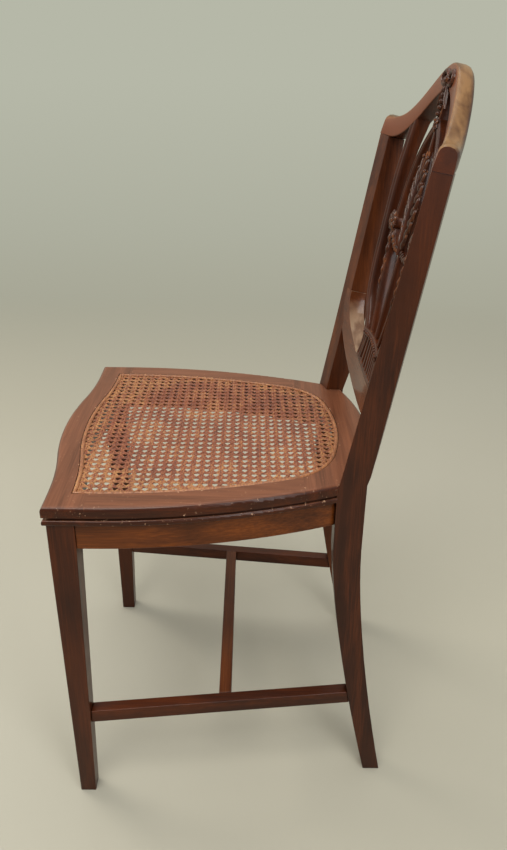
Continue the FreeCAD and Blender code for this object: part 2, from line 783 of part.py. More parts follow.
def wave_share(x):
    """The crest's hump, from 0 near the horns to 1 in the middle."""
    half = size("crest_wave_half")
    if abs(x) >= half:
        return 0.0
    return 0.5 + 0.5 * math.cos(math.pi * x / half)


def crest_top_z(x):
    return size("horn_height") + size("crest_rise") * wave_share(x)


def crest_low_z(x):
    horn_depth = size("horn_height") - size("post_top")
    return crest_top_z(x) - horn_depth - (size("crest_depth_middle") - horn_depth) * wave_share(x)


def bend(body, recess, thickness):
    """Cut a flat board to the bowed sheet between two depths behind the back's face."""
    plan = add_sketch(body, "XY_Plane")
    bow_front_cut(plan, recess)
    pocket(body, plan)
    plan = add_sketch(body, "XY_Plane")
    bow_rear_cut(plan, recess + thickness)
    pocket(body, plan)


CREST_STATIONS = 25
BOARD_DEPTH = "2 * (Sizes.back_bow + Sizes.back_thickness)"


def build_crest_blank():
    body = new_body("crest_rail_blank")
    body.Placement = LEAN_FRAME
    face = add_sketch(body, "XZ_Plane")
    half = size("post_outer_top")
    turn = size("crest_wave_half")
    stations = [turn * (2.0 * step / (CREST_STATIONS - 1) - 1.0) for step in range(CREST_STATIONS)]
    spline(face, [(x, crest_top_z(x)) for x in stations])
    spline(face, [(x, crest_low_z(x)) for x in stations])
    for hand in (1, -1):
        lines(face, [(hand * turn, crest_low_z(turn)), (hand * half, crest_low_z(half)),
                     (hand * half, crest_top_z(half)), (hand * turn, crest_top_z(turn))])
    pad(body, face, BOARD_DEPTH, both=True)
    bend(body, 0.0, size("back_thickness"))
    return body


def half_ellipse(sketch, half, drop, height):
    """The lower half of an upright or flat ellipse round a centre on the middle line."""
    centre = Vector(0, height, 0)
    if half >= drop:
        ellipse = Part.Ellipse(centre, half, drop)
        angles = (math.pi, 2.0 * math.pi)
    else:
        ellipse = Part.Ellipse(Vector(0, height - drop, 0), Vector(half, height, 0), centre)
        angles = (-math.pi / 2.0, math.pi / 2.0)
    sketch.addGeometry(Part.ArcOfEllipse(ellipse, *angles), False)


def build_base_blank():
    """The lower part of the shield, between two half ellipses, its ends run into the posts."""
    body = new_body("shield_base_blank")
    body.Placement = LEAN_FRAME
    face = add_sketch(body, "XZ_Plane")
    height = size("base_joint_height")
    halves = (size("base_inner_half"), size("base_outer_half"))
    half_ellipse(face, halves[0], size("base_inner_drop"), height)
    half_ellipse(face, halves[1], size("base_outer_drop"), height)
    for hand in (1, -1):
        lines(face, [(hand * halves[0], height), (hand * halves[1], height)])
    pad(body, face, BOARD_DEPTH, both=True)
    bend(body, 0.0, size("back_thickness"))
    return body


def band(body, points, width, first, last):
    """A curved bar of the fretwork: two curves a width apart, closed by straight ends."""
    sides = ([], [])
    for index, (x, z) in enumerate(points):
        before = points[max(index - 1, 0)]
        after = points[min(index + 1, len(points) - 1)]
        run = (after[0] - before[0], after[1] - before[1])
        if index == 0:
            run = first
        if index == len(points) - 1:
            run = last
        span = math.hypot(*run)
        for side, hand in zip(sides, (0.5, -0.5)):
            side.append((x - hand * width * run[1] / span, z + hand * width * run[0] / span))
    face = add_sketch(body, "XZ_Plane")
    for side in sides:
        spline(face, side, first, last)
    lines(face, [sides[0][0], sides[1][0]])
    lines(face, [sides[0][-1], sides[1][-1]])
    pad(body, face, BOARD_DEPTH, both=True)


def disc(body, x, z, radius):
    face = add_sketch(body, "XZ_Plane")
    face.addGeometry(Part.Circle(Vector(x, z, 0), Vector(0, 0, 1), radius), False)
    pad(body, face, BOARD_DEPTH, both=True)


def build_splat_blank():
    """The pierced board: fan, ribs, rosettes, pointed arch, plume and the bow above it."""
    body = new_body("splat_blank")
    body.Placement = LEAN_FRAME
    neck = size("neck_half")
    neck_z = size("neck_height")
    foot_z = size("base_joint_height") - size("base_inner_drop") - size("back_tenon")
    foot = size("rib_foot_half")
    rosette = (size("rosette_half"), size("rosette_height"))
    rib_top = crest_low_z(size("rib_top_half")) + size("back_tenon")
    stem = size("stem_width")
    face = add_sketch(body, "XZ_Plane")
    lines(face, [(-foot, foot_z), (foot, foot_z), (neck, neck_z), (-neck, neck_z)], closed=True)
    pad(body, face, BOARD_DEPTH, both=True)
    band(body, [(0, neck_z - stem), (0, size("plume_bottom") + stem)], stem, (0, 1), (0, 1))
    for hand in (1, -1):
        disc(body, hand * rosette[0], rosette[1], size("rosette_radius"))
        inner = [(hand * 0.5 * neck, neck_z - stem), (hand * 0.9 * neck, 0.5 * (neck_z + rosette[1])),
                 (hand * rosette[0], rosette[1])]
        band(body, inner, stem, (hand * 0.3, 1), (hand * 0.4, 1))
        rib = [(hand * foot, foot_z), (hand * size("rib_neck_half"), neck_z - stem),
               (hand * size("rib_low_half"), size("rib_low_height")),
               (hand * size("rib_middle_half"), 0.5 * (size("rib_low_height") + size("rib_wide_height"))),
               (hand * size("rib_wide_half"), size("rib_wide_height")), (hand * size("rib_top_half"), rib_top)]
        band(body, rib, size("rib_width"), (-hand * 0.2, 1), (-hand * 0.35, 1))
        arch = [(hand * (rosette[0] - 6.0), rosette[1]),
                (hand * size("arch_half"), rosette[1] + 35.0),
                (hand * size("arch_half") * 0.76, size("arch_top") - 42.0), (0, size("arch_top"))]
        band(body, arch, size("arch_width"), (-hand, 2), (-hand, 1.6))
        swag = [(hand * rosette[0], rosette[1]), (hand * rosette[0] * 0.5, rosette[1] - 22.0),
                (0, size("plume_bottom") + 4.0)]
        band(body, swag, stem, (-hand, -1), (-hand, 0.1))
        leaf = [(0, size("plume_bottom")), (hand * size("plume_half") * 0.5, 0.5 * (size("plume_bottom") + size("plume_top"))),
                (0, size("plume_top"))]
        band(body, leaf, size("plume_half"), (hand, 2), (-hand, 3))
    string = [(0, size("plume_top") - stem), (0, crest_low_z(0) + size("back_tenon"))]
    band(body, string, stem, (0, 1), (0, 1))
    bend(body, size("splat_recess"), size("splat_thickness"))
    return body


# Cane panel and its spline


def build_cane_panel():
    body = new_body("cane_panel")
    plan = add_sketch(body, "XY_Plane", FRAME_TOP_Z + " - Sizes.rebate_depth")
    cane_outline(plan, size("cane_margin"))
    pad(body, plan, "Sizes.cane_thickness")
    holes = add_sketch(body, "XY_Plane", FRAME_TOP_Z)
    pitch = size("net_pitch")
    half = size("net_hole") / 2.0
    rear = CANE_REAR_Y
    row_count = int((rear - FRONT_Y) / pitch) + 1
    column_count = int(HALF_WIDTH / pitch) + 1
    for row in range(row_count):
        y = rear - size("net_edge") - pitch * (row + 0.5)
        for column in range(-column_count, column_count + 1):
            x = pitch * column
            corners = [(x - half, y - half), (x + half, y - half), (x + half, y + half), (x - half, y + half)]
            if all(inside_cane(corner) for corner in corners):
                lines(holes, corners, closed=True)
    pocket(body, holes, "2 * Sizes.rebate_depth")
    return body


def inside_cane(point):
    """Whether a point is inside the cane opening, clear of its edge."""
    x, y = abs(point[0]), point[1]
    edge = size("net_edge")
    if y < wave_y(x, size("rim_front") + edge) or x > side_x(y, size("rim_side") + edge):
        return False
    rear_centre_y = CANE_REAR_Y - size("cane_rear_radius")
    if math.hypot(x, y - rear_centre_y) > size("cane_rear_radius") - edge:
        return False
    centre = corner_centre(0.0)
    beyond = x > centre[0] and y > centre[1]
    return not beyond or math.hypot(x - centre[0], y - centre[1]) < size("cane_corner_radius") - edge


def build_cane_spline():
    """The strip that holds the edge of the cane down in the rebate."""
    body = new_body("cane_spline")
    plan = add_sketch(body, "XY_Plane", FRAME_TOP_Z + " - Sizes.rebate_depth + Sizes.cane_thickness")
    cane_outline(plan, size("cane_margin"))
    cane_outline(plan, size("cane_margin") - size("spline_width"))
    pad(body, plan, "Sizes.spline_height")
    return body


# Fastenings: screws up through the rails into the seat frame, and dowels across its seams

SCREW_LOW = FRAME_LOW + size("screw_bite") - size("screw_length")


def screw(name, x, y):
    place = Vector(x, y, SCREW_LOW)
    up = Vector(0, 0, 1)
    shank = rod(name + "_shank", place, up, "Sizes.screw_diameter", "Sizes.screw_length")
    head = rod(name + "_head", place, up, "Sizes.screw_head", "Sizes.screw_head_height")
    return join(name, [shank, head])


def screw_hole(name, x, y):
    """Clearance for a screw, with a counterbore from below for its head."""
    up = Vector(0, 0, 1)
    start = RAIL_LOW - size("screw_head_height")
    shank = rod(name + "_shank", Vector(x, y, SCREW_LOW), up,
                "Sizes.screw_diameter + 2 * Sizes.fit_gap", "Sizes.screw_length + Sizes.fit_gap")
    bore = rod(name + "_bore", Vector(x, y, start), up, "Sizes.screw_head + 2 * Sizes.fit_gap",
               FRAME_LOW_Z + " + Sizes.screw_bite - Sizes.screw_length + 2 * Sizes.screw_head_height - "
               + RAIL_LOW_Z)
    return join(name, [shank, bore])


def dowel(name, x, y, gap):
    along = Vector(0, 1, 0)
    place = Vector(x, y - size("dowel_length") / 2.0 - gap, FRAME_LOW + size("frame_thickness") / 2.0 - 1.0)
    return rod(name, place, along, "Sizes.dowel_diameter + 2 * %s" % gap, "Sizes.dowel_length + 2 * %s" % gap)


RAIL_MIDDLE = (RAIL_OUT + RAIL_IN) / 2.0
FRONT_SCREW = (size("front_screw_half"), wave_y(size("front_screw_half"), RAIL_MIDDLE))
REAR_SCREW = (size("rear_screw_half"), FRONT_Y + size("rear_rail_depth") + size("rail_thickness") / 2.0)
SIDE_SCREWS = [(side_x(FRONT_Y + depth, RAIL_MIDDLE), FRONT_Y + depth)
               for depth in (size("side_screw_first"), size("side_screw_second"))]
DOWELS = [(side_x(y, size("rim_side") / 2.0), y) for y in (SIDE_START_Y, REAR_SEAM_Y)]


def pair(item):
    """A tool on the sitter's left with its mirror image."""
    return [item, mirrored(item, item.Name + "_right")]


def fitted(name, blank, neighbours=(), tenons=(), holes=()):
    """A piece trimmed to its neighbours, its tenons added and its mortises and holes cut."""
    item = blank
    if neighbours:
        item = take(name + "_trimmed", item, list(neighbours))
    if tenons:
        item = join(name + "_tenoned", [item] + list(tenons))
    if holes:
        item = take(name + "_bored", item, list(holes))
    return item


def publish_pair(item, label):
    publish(item, label + "_left")
    publish(mirrored(item, label + "_mirrored"), label + "_right")


def block(name, corner, reach):
    """A triangular block under the seat frame, its legs running from a corner along X and Y."""
    body = new_body(name)
    plan = add_sketch(body, "XY_Plane", FRAME_LOW_Z + " - Sizes.block_height")
    x, y = corner
    lines(plan, [(x, y), (x - size("block_reach"), y), (x, y + reach)], closed=True)
    pad(body, plan, "Sizes.block_height")
    return body


GAP = "Sizes.fit_gap"
LEAN_GAP = size("fit_gap")
TENON_LONG = size("back_tenon")
TENON_HALF = size("tenon_thickness") / 2.0
SHOULDER = size("tenon_shoulder")


def back_tenon(name, x_range, z_range, grow=0.0):
    """A tenon inside the thickness of the bowed back, spanning a width and a height."""
    middle = bow_y(sum(x_range) / 2.0) + size("back_thickness") / 2.0
    return lean_box(name, x_range, (middle - TENON_HALF, middle + TENON_HALF), z_range, grow)


POST_TOP_MIDDLE = post_outer_x(SEAT_TOP + size("post_top") * math.cos(LEAN_RADIANS)) - size("post_width_top") / 2.0
POST_TOP_TENON = ((POST_TOP_MIDDLE - TENON_HALF, POST_TOP_MIDDLE + TENON_HALF),
                  (size("post_top") - SHOULDER, size("post_top") + TENON_LONG))
BASE_SIDE_TENON = ((size("base_inner_half") - 3.0, size("base_inner_half") + TENON_LONG),
                   (size("base_joint_height") - size("base_inner_drop") / 2.0 - 6.0,
                    size("base_joint_height") - size("base_inner_drop") / 4.0 - 1.0))
SPLAT_FOOT_Z = size("base_joint_height") - size("base_inner_drop")
SPLAT_FOOT_TENON = ((-0.5 * size("neck_half"), 0.5 * size("neck_half")),
                    (SPLAT_FOOT_Z - TENON_LONG, SPLAT_FOOT_Z + SHOULDER))
STRING_TENON = ((-0.5 * size("stem_width"), 0.5 * size("stem_width")),
                (crest_low_z(0) - SHOULDER, crest_low_z(0) + TENON_LONG))
RIB_TENON = ((size("rib_top_half") - TENON_HALF, size("rib_top_half") + TENON_HALF),
             (crest_low_z(size("rib_top_half")) - SHOULDER, crest_low_z(size("rib_top_half")) + TENON_LONG))

leg_blank = build_leg_blank()
post_blank = build_post_blank()
posts = pair(post_blank)
front_rail_blank = build_front_rail_blank()
side_rail_blank = build_side_rail_blank()
rear_rail_blank = build_rear_rail_blank()
stretcher_blank = build_side_stretcher_blank()
crest_blank = build_crest_blank()
base_blank = build_base_blank()

# Legs and posts
leg_holes = [box("leg_front_mortise", *FRONT_TENON, grow=GAP), box("leg_side_mortise", *SIDE_FRONT_TENON, grow=GAP),
             box("leg_stretcher_mortise", *STRETCHER_FRONT_TENON, grow=GAP)]
publish_pair(fitted("front_leg", leg_blank, holes=leg_holes), "front_leg")
post_holes = [box("post_side_mortise", *SIDE_REAR_TENON, grow=GAP), box("post_rear_mortise", *REAR_TENON, grow=GAP),
              box("post_stretcher_mortise", *STRETCHER_REAR_TENON, grow=GAP),
              back_tenon("post_base_mortise", *BASE_SIDE_TENON, grow=LEAN_GAP)]
post_tenon = back_tenon("post_top_tenon", *POST_TOP_TENON)
publish_pair(fitted("rear_post", post_blank, tenons=[post_tenon], holes=post_holes), "rear_post")

# Rails
front_rail = fitted("front_rail", front_rail_blank, tenons=pair(box("front_rail_tenon", *FRONT_TENON)),
                    holes=pair(screw_hole("front_rail_hole", *FRONT_SCREW)))
publish(front_rail, "front_rail")
side_tenons = [box("side_rail_front_tenon", *SIDE_FRONT_TENON), box("side_rail_rear_tenon", *SIDE_REAR_TENON)]
side_holes = [screw_hole("side_rail_hole", *place) for place in SIDE_SCREWS]
publish_pair(fitted("side_rail", side_rail_blank, tenons=side_tenons, holes=side_holes), "side_rail")
rear_rail = fitted("rear_rail", rear_rail_blank, neighbours=posts, tenons=pair(box("rear_rail_tenon", *REAR_TENON)),
                   holes=pair(screw_hole("rear_rail_hole", *REAR_SCREW)))
publish(rear_rail, "rear_rail")
overlap = size("tenon_shoulder")
front_corner = (HALF_WIDTH - RAIL_IN + overlap, FRONT_Y + RAIL_IN - overlap)
front_block = fitted("front_block", block("front_block_blank", front_corner, size("block_reach")),
                     neighbours=[leg_blank, front_rail_blank, side_rail_blank])
publish_pair(front_block, "front_corner_block")
rear_corner = (size("post_outer_seat") - size("post_width_seat") / 2.0 + overlap,
               FRONT_Y + size("rear_rail_depth") + overlap)
rear_block = fitted("rear_block", block("rear_block_blank", rear_corner, -size("block_reach")),
                    neighbours=[post_blank, rear_rail_blank, side_rail_blank])
publish_pair(rear_block, "rear_corner_block")

# Stretchers
side_stretcher = fitted("side_stretcher", stretcher_blank, neighbours=[leg_blank, post_blank],
                        tenons=[box("stretcher_front_tenon", *STRETCHER_FRONT_TENON),
                                box("stretcher_rear_tenon", *STRETCHER_REAR_TENON)],
                        holes=[box("stretcher_cross_mortise", *CROSS_TENON, grow=GAP)])
publish_pair(side_stretcher, "side_stretcher")
cross_blank = box("cross_stretcher_blank", ("-" + CROSS_X, CROSS_X), CROSS_Y, STRETCHER_Z)
cross = fitted("cross_stretcher", cross_blank, neighbours=pair(stretcher_blank),
               tenons=pair(box("cross_tenon", *CROSS_TENON)))
publish(cross, "cross_stretcher")

# Seat frame with its cane
frame_front = fitted("seat_frame_front", seat_member("seat_frame_front_blank", front_plan),
                     holes=pair(screw_hole("frame_front_hole", *FRONT_SCREW))
                     + pair(dowel("frame_front_dowel_hole", *DOWELS[0], gap=LEAN_GAP)))
publish(frame_front, "seat_frame_front")
frame_side = fitted("seat_frame_side", seat_member("seat_frame_side_blank", side_plan),
                    holes=[screw_hole("frame_side_hole", *place) for place in SIDE_SCREWS]
                    + [dowel("frame_side_dowel_hole", *place, gap=LEAN_GAP) for place in DOWELS])
publish_pair(frame_side, "seat_frame_side")
frame_rear = fitted("seat_frame_rear", seat_member("seat_frame_rear_blank", rear_plan), neighbours=posts,
                    holes=pair(screw_hole("frame_rear_hole", *REAR_SCREW))
                    + pair(dowel("frame_rear_dowel_hole", *DOWELS[1], gap=LEAN_GAP)))
publish(frame_rear, "seat_frame_rear")
dowels = [part for place in DOWELS for part in pair(dowel("seam_dowel", *place, gap=0.0))]
publish(group("dowels", dowels), "seat_frame_dowels")
places = [FRONT_SCREW, REAR_SCREW] + SIDE_SCREWS
screws = [part for place in places for part in pair(screw("seat_screw", *place))]
publish(group("screws", screws), "seat_screws")
publish(build_cane_panel(), "cane_panel")
publish(build_cane_spline(), "cane_spline")

# Shield back
crest_holes = (pair(back_tenon("crest_post_mortise", *POST_TOP_TENON, grow=LEAN_GAP))
               + pair(back_tenon("crest_rib_mortise", *RIB_TENON, grow=LEAN_GAP))
               + [back_tenon("crest_string_mortise", *STRING_TENON, grow=LEAN_GAP)])
publish(fitted("crest", crest_blank, holes=crest_holes), "crest_rail")
base = fitted("shield_base", base_blank, neighbours=posts,
              tenons=pair(back_tenon("base_side_tenon", *BASE_SIDE_TENON)),
              holes=[back_tenon("base_splat_mortise", *SPLAT_FOOT_TENON, grow=LEAN_GAP)])
publish(base, "shield_base")
splat = fitted("splat", build_splat_blank(), neighbours=[base_blank, crest_blank],
               tenons=pair(back_tenon("splat_rib_tenon", *RIB_TENON))
               + [back_tenon("splat_string_tenon", *STRING_TENON), back_tenon("splat_foot_tenon", *SPLAT_FOOT_TENON)])
publish(splat, "splat")

doc.recompute()
for item in doc.Objects:
    if "Invalid" in item.State or "Error" in item.State:
        raise RuntimeError("%s: %s" % (item.Label, item.State))
os.makedirs("parts", exist_ok=True)
for item in finished:
    if item.Shape.isNull() or not item.Shape.isValid():
        raise RuntimeError("%s has no valid shape" % item.Label)
    item.Shape.exportStep("parts/%s.step" % item.Label)
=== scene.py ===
"""Looks of a shield back side chair with a caned seat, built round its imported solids.

All sizes are written in millimetres and turned to metres where a mesh is placed.
The chair faces -Y, +Z is up and +X is the sitter's left.
"""

import logging
import math
from dataclasses import dataclass
from enum import Enum
from typing import Any, Callable, Iterable, Sequence

import bmesh
import bpy
from mathutils import Matrix, Vector


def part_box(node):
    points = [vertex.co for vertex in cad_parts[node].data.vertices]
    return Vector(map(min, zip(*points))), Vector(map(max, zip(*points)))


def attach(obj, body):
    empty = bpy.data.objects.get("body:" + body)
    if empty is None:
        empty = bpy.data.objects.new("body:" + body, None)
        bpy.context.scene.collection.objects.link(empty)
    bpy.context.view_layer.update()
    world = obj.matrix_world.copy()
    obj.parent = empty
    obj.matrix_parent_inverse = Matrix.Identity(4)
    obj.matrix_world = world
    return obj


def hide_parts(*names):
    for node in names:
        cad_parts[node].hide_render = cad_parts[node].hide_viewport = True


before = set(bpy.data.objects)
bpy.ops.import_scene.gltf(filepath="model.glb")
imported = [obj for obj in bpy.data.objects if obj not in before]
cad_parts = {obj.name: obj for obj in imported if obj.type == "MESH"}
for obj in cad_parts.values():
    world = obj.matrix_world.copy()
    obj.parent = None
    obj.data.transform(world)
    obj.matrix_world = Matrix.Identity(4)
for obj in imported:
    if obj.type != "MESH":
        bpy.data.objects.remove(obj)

log = logging.getLogger("chair")

MM = 0.001
BODY = "root"
SHARP_ANGLE = math.radians(38.0)
SPLINE_OUTSET = 5.2
STRAND_OUTSET = 3.2

Point = tuple[float, float]
Station = tuple[float, float, float, float]


# Small helpers


class Kind(Enum):
    """The kinds of shader node that the finishes are built from."""

    COORDINATES = "ShaderNodeTexCoord"
    GEOMETRY = "ShaderNodeNewGeometry"
    RAYS = "ShaderNodeLightPath"
    SHELTER = "ShaderNodeAmbientOcclusion"
    MAPPING = "ShaderNodeMapping"
    NOISE = "ShaderNodeTexNoise"
    AXES = "ShaderNodeSeparateXYZ"
    VECTOR = "ShaderNodeVectorMath"
    MATH = "ShaderNodeMath"
    RAMP = "ShaderNodeValToRGB"
    MIX = "ShaderNodeMix"
    BUMP = "ShaderNodeBump"
    SURFACE = "ShaderNodeBsdfPrincipled"
    GLOW = "ShaderNodeEmission"
    MIX_SURFACES = "ShaderNodeMixShader"
    OUTPUT = "ShaderNodeOutputMaterial"


def srgb(code: str) -> tuple[float, float, float, float]:
    """Turn an sRGB hex colour to a linear one.

    Args:
        code: Six hex digits after a hash.

    Returns:
        Linear red, green, blue and an alpha of 1.
    """
    parts = [int(code[i:i + 2], 16) / 255.0 for i in (1, 3, 5)]
    linear = [c / 12.92 if c <= 0.04045 else ((c + 0.055) / 1.055) ** 2.4 for c in parts]
    return (*linear, 1.0)


def add_node(tree: bpy.types.NodeTree, kind: Kind, inputs: dict[Any, Any] | None = None,
             stops: Sequence[tuple[float, Any]] = (), **settings: Any) -> Any:
    """Add a shader node with its settings, values and links.

    Args:
        tree: The node tree to add to.
        kind: Which node.
        inputs: Input names or numbers. Each has a value, a socket to link, or a node, whose first live
            output is linked.
        stops: A ramp's positions, each with a linear colour or a grey value.
        settings: The node's own properties.

    Returns:
        The new node.
    """
    node = tree.nodes.new(kind.value)
    for name, value in settings.items():
        setattr(node, name, value)
    for name, value in (inputs or {}).items():
        if isinstance(value, bpy.types.Node):
            value = next(socket for socket in value.outputs if socket.enabled)
        if isinstance(value, bpy.types.NodeSocket):
            tree.links.new(value, node.inputs[name])
        else:
            node.inputs[name].default_value = value
    if stops:
        points = node.color_ramp.elements
        while len(points) < len(stops):
            points.new(0.5)
        for point, (place, value) in zip(points, stops):
            point.position = place
            point.color = (value, value, value, 1.0) if isinstance(value, float) else value
    return node


def new_tree(name: str) -> tuple[bpy.types.Material, bpy.types.NodeTree]:
    """Make a material with an empty node tree.

    Args:
        name: The material's name.

    Returns:
        The material and its tree.
    """
    material = bpy.data.materials.new(name)
    material.use_nodes = True
    material.node_tree.nodes.clear()
    return material, material.node_tree


# Finishes


class Grain(Enum):
    """Which way the timber's grain runs in a piece."""

    ACROSS = (1, 0, 0)
    ALONG = (0, 1, 0)
    UP = (0, 0, 1)


@dataclass(frozen=True)
class PolishedMahogany:
    """Old red mahogany, planed and shellac polished.

    The widths are those of the wood's own pattern, and the reaches say how far from an edge or into a corner
    a mark spreads, all in mm.
    """

    # It gives the eye dark red brown streaks that run with the grain under a soft gloss, darker wood in the corners,
    # and pale wood where an edge is rubbed or knocked. Faces that look up can be painted paler, partly as dust and
    # partly as painted top light. Faces that look forward can be painted paler as painted front light. Faces that look
    # up can also carry a pale painted highlight that is partly rubbed wood. Real pores are about 0.2 mm wide, too fine
    # to show, so they are drawn four times as wide.
    board: str
    grain: Grain
    deep: str = "#1f0b04"
    middle: str = "#371708"
    warm: str = "#5d2a0d"
    rubbed: str = "#a0643c"
    # Near black: fills the pores and darkens the corners.
    pore_and_corner_dark: str = "#120803"
    chip: str = "#d0a583"
    # Paler colour for faces that look up: partly dust, partly painted top light.
    dust_and_top_light: str = "#8d5b42"
    # Painted front light: the paler colour of faces that look forward.
    painted_front_light: str = "#80492f"
    # Pale colour for faces that look up: rubbed wood and a painted highlight.
    bare_and_highlight: str = "#93714a"
    chipped: float = 0.0
    # How strongly faces that look forward are painted with front light.
    painted_front_light_share: float = 0.0
    # How strongly faces that look up are painted with the rubbed, highlit colour.
    bare_and_highlight_share: float = 0.0
    # How strongly faces that look up are painted paler, as dust and as painted top light.
    dust_and_top_light_share: float = 0.0
    roughness: float = 0.36
    roughness_spread: float = 0.16
    coat: float = 0.18
    figure_width: float = 14.0
    fibre_width: float = 1.6
    pore_width: float = 0.8
    cloud_width: float = 111.111
    patch_width: float = 18.1818
    chip_width: float = 4.16667
    rubbed_reach: float = 3.0
    chipped_reach: float = 7.0
    hollow_reach: float = 9.0
    relief_depth: float = 0.12

    def build(self) -> bpy.types.Material:
        """Make the material.

        Returns:
            The finished material.
        """
        material, tree = new_tree("polished_mahogany_" + self.board)
        place = add_node(tree, Kind.COORDINATES).outputs["Object"]
        figure = self.streaks(tree, place, self.figure_width, stretch=0.07, detail=3.0)
        fibre = self.streaks(tree, place, self.fibre_width, stretch=0.03, detail=4.0)
        pores = self.streaks(tree, place, self.pore_width, stretch=0.07, detail=1.0)
        clouds = add_node(tree, Kind.NOISE, {"Vector": place, "Scale": 1.0 / (self.cloud_width * MM), "Detail": 3.0})
        patches = add_node(tree, Kind.NOISE, {"Vector": place, "Scale": 1.0 / (self.patch_width * MM), "Detail": 4.0})
        tone = add_node(tree, Kind.MATH, {0: figure, 1: 0.6}, operation="MULTIPLY")
        tone = add_node(tree, Kind.MATH, {0: fibre, 1: 0.4, 2: tone}, operation="MULTIPLY_ADD")
        pore_share = add_node(tree, Kind.RAMP, {"Fac": pores}, [(0.64, 0.0), (0.74, 0.3)])
        facing = add_node(tree, Kind.GEOMETRY).outputs["Normal"]
        edge = self.near_edge(tree, self.rubbed_reach, [(0.25, 1.0), (0.8, 0.0)])
        corner = add_node(tree, Kind.SHELTER, {"Distance": self.hollow_reach * MM}, samples=6).outputs["AO"]
        layers = [
            (add_node(tree, Kind.RAMP, {"Fac": clouds}, [(0.35, 0.0), (0.7, 0.35)]), self.warm),
            (pore_share, self.pore_and_corner_dark),
            *self.lit_and_dusty_faces(tree, facing, tone),
            (self.worn_edges(tree, edge, patches, facing), self.rubbed),
            # Darker towards inner corners, out to hollow_reach.
            (add_node(tree, Kind.RAMP, {"Fac": corner}, [(0.25, 0.75), (0.7, 0.0)]), self.pore_and_corner_dark),
        ]
        if self.chipped:
            layers.append((self.chips(tree, place, patches), self.chip))
        # Faces that look up turn pale: partly rubbed wood, partly a painted highlight.
        if self.bare_and_highlight_share:
            upward = add_node(tree, Kind.AXES, {0: facing}).outputs[2]
            upward = add_node(tree, Kind.RAMP, {"Fac": upward}, [(0.25, 0.0), (0.75, self.bare_and_highlight_share)])
            streaky = add_node(tree, Kind.RAMP, {"Fac": figure}, [(0.35, 0.35), (0.6, 1.0)])
            layers.append((add_node(tree, Kind.MATH, {0: upward, 1: streaky}, operation="MULTIPLY"), self.bare_and_highlight))
        colour = add_node(tree, Kind.RAMP, {"Fac": tone},
                          [(0.26, srgb(self.deep)), (0.5, srgb(self.middle)), (0.76, srgb(self.warm))])
        for share, over in layers:
            mixed = add_node(tree, Kind.MIX, {0: share, 6: colour, 7: srgb(over)}, data_type="RGBA")
            colour = mixed.outputs[2]
        rough = add_node(tree, Kind.MATH, {0: patches, 1: self.roughness_spread,
                                           2: self.roughness - self.roughness_spread / 2.0}, operation="MULTIPLY_ADD")
        relief = add_node(tree, Kind.MATH, {0: fibre, 1: 0.5}, operation="MULTIPLY")
        relief = add_node(tree, Kind.MATH, {0: relief, 1: pore_share}, operation="SUBTRACT")
        bump = add_node(tree, Kind.BUMP, {"Height": relief, "Strength": 0.25, "Distance": self.relief_depth * MM})
        shader = add_node(tree, Kind.SURFACE,
                          {"Base Color": colour, "Roughness": rough, "Normal": bump, "IOR": 1.28,
                           "Coat Weight": self.coat, "Coat Roughness": 0.12, "Coat IOR": 1.5})
        add_node(tree, Kind.OUTPUT, {"Surface": shader})
        return material

    def streaks(self, tree: bpy.types.NodeTree, place: Any, width: float, stretch: float, detail: float) -> Any:
        """Noise drawn out along the grain.

        Args:
            tree: The node tree.
            place: The coordinates' socket.
            width: How wide one streak is, in mm.
            stretch: Its width as a share of its length.
            detail: How much finer noise is laid over it.

        Returns:
            The noise node.
        """
        scale = [stretch if axis else 1.0 for axis in self.grain.value]
        mapped = add_node(tree, Kind.MAPPING, {"Vector": place, "Scale": scale})
        return add_node(tree, Kind.NOISE, {"Vector": mapped, "Scale": 1.0 / (width * MM), "Detail": detail,
                                           "Distortion": 0.3})

    def near_edge(self, tree: bpy.types.NodeTree, reach: float, stops: Sequence[tuple[float, Any]]) -> Any:
        """How near a point is to an outer edge.

        Args:
            tree: The node tree.
            reach: How far the edge counts, in mm.
            stops: What the measure is turned to.

        Returns:
            The share's node.
        """
        inside = add_node(tree, Kind.SHELTER, {"Distance": reach * MM}, inside=True, only_local=True, samples=6)
        return add_node(tree, Kind.RAMP, {"Fac": inside.outputs["AO"]}, stops)

    def lit_and_dusty_faces(self, tree: bpy.types.NodeTree, facing: Any, tone: Any) -> list[tuple[Any, str]]:
        """Painted light on faces that look forward, and paler faces that look up, partly dust and partly painted top
        light.

        Args:
            tree: The node tree.
            facing: The surface's direction.
            tone: The grain's pattern.

        Returns:
            Shares and the colours they lay over the wood.
        """
        ways = add_node(tree, Kind.AXES, {0: facing}).outputs
        layers = []
        # Painted front light on faces that look forward.
        if self.painted_front_light_share:
            forward = add_node(tree, Kind.MATH, {0: ways[1], 1: -1.0}, operation="MULTIPLY")
            layers.append((add_node(tree, Kind.RAMP, {"Fac": forward}, [(0.45, 0.0), (0.8, self.painted_front_light_share)]), self.painted_front_light))
        # Faces that look up: partly dust and partly painted top light, streaky with the grain.
        if self.dust_and_top_light_share:
            upward = add_node(tree, Kind.RAMP, {"Fac": ways[2]}, [(0.6, 0.0), (0.95, self.dust_and_top_light_share)])
            streaky = add_node(tree, Kind.RAMP, {"Fac": tone}, [(0.3, 0.35), (0.62, 1.0)])
            layers.append((add_node(tree, Kind.MATH, {0: upward, 1: streaky}, operation="MULTIPLY"), self.dust_and_top_light))
        return layers

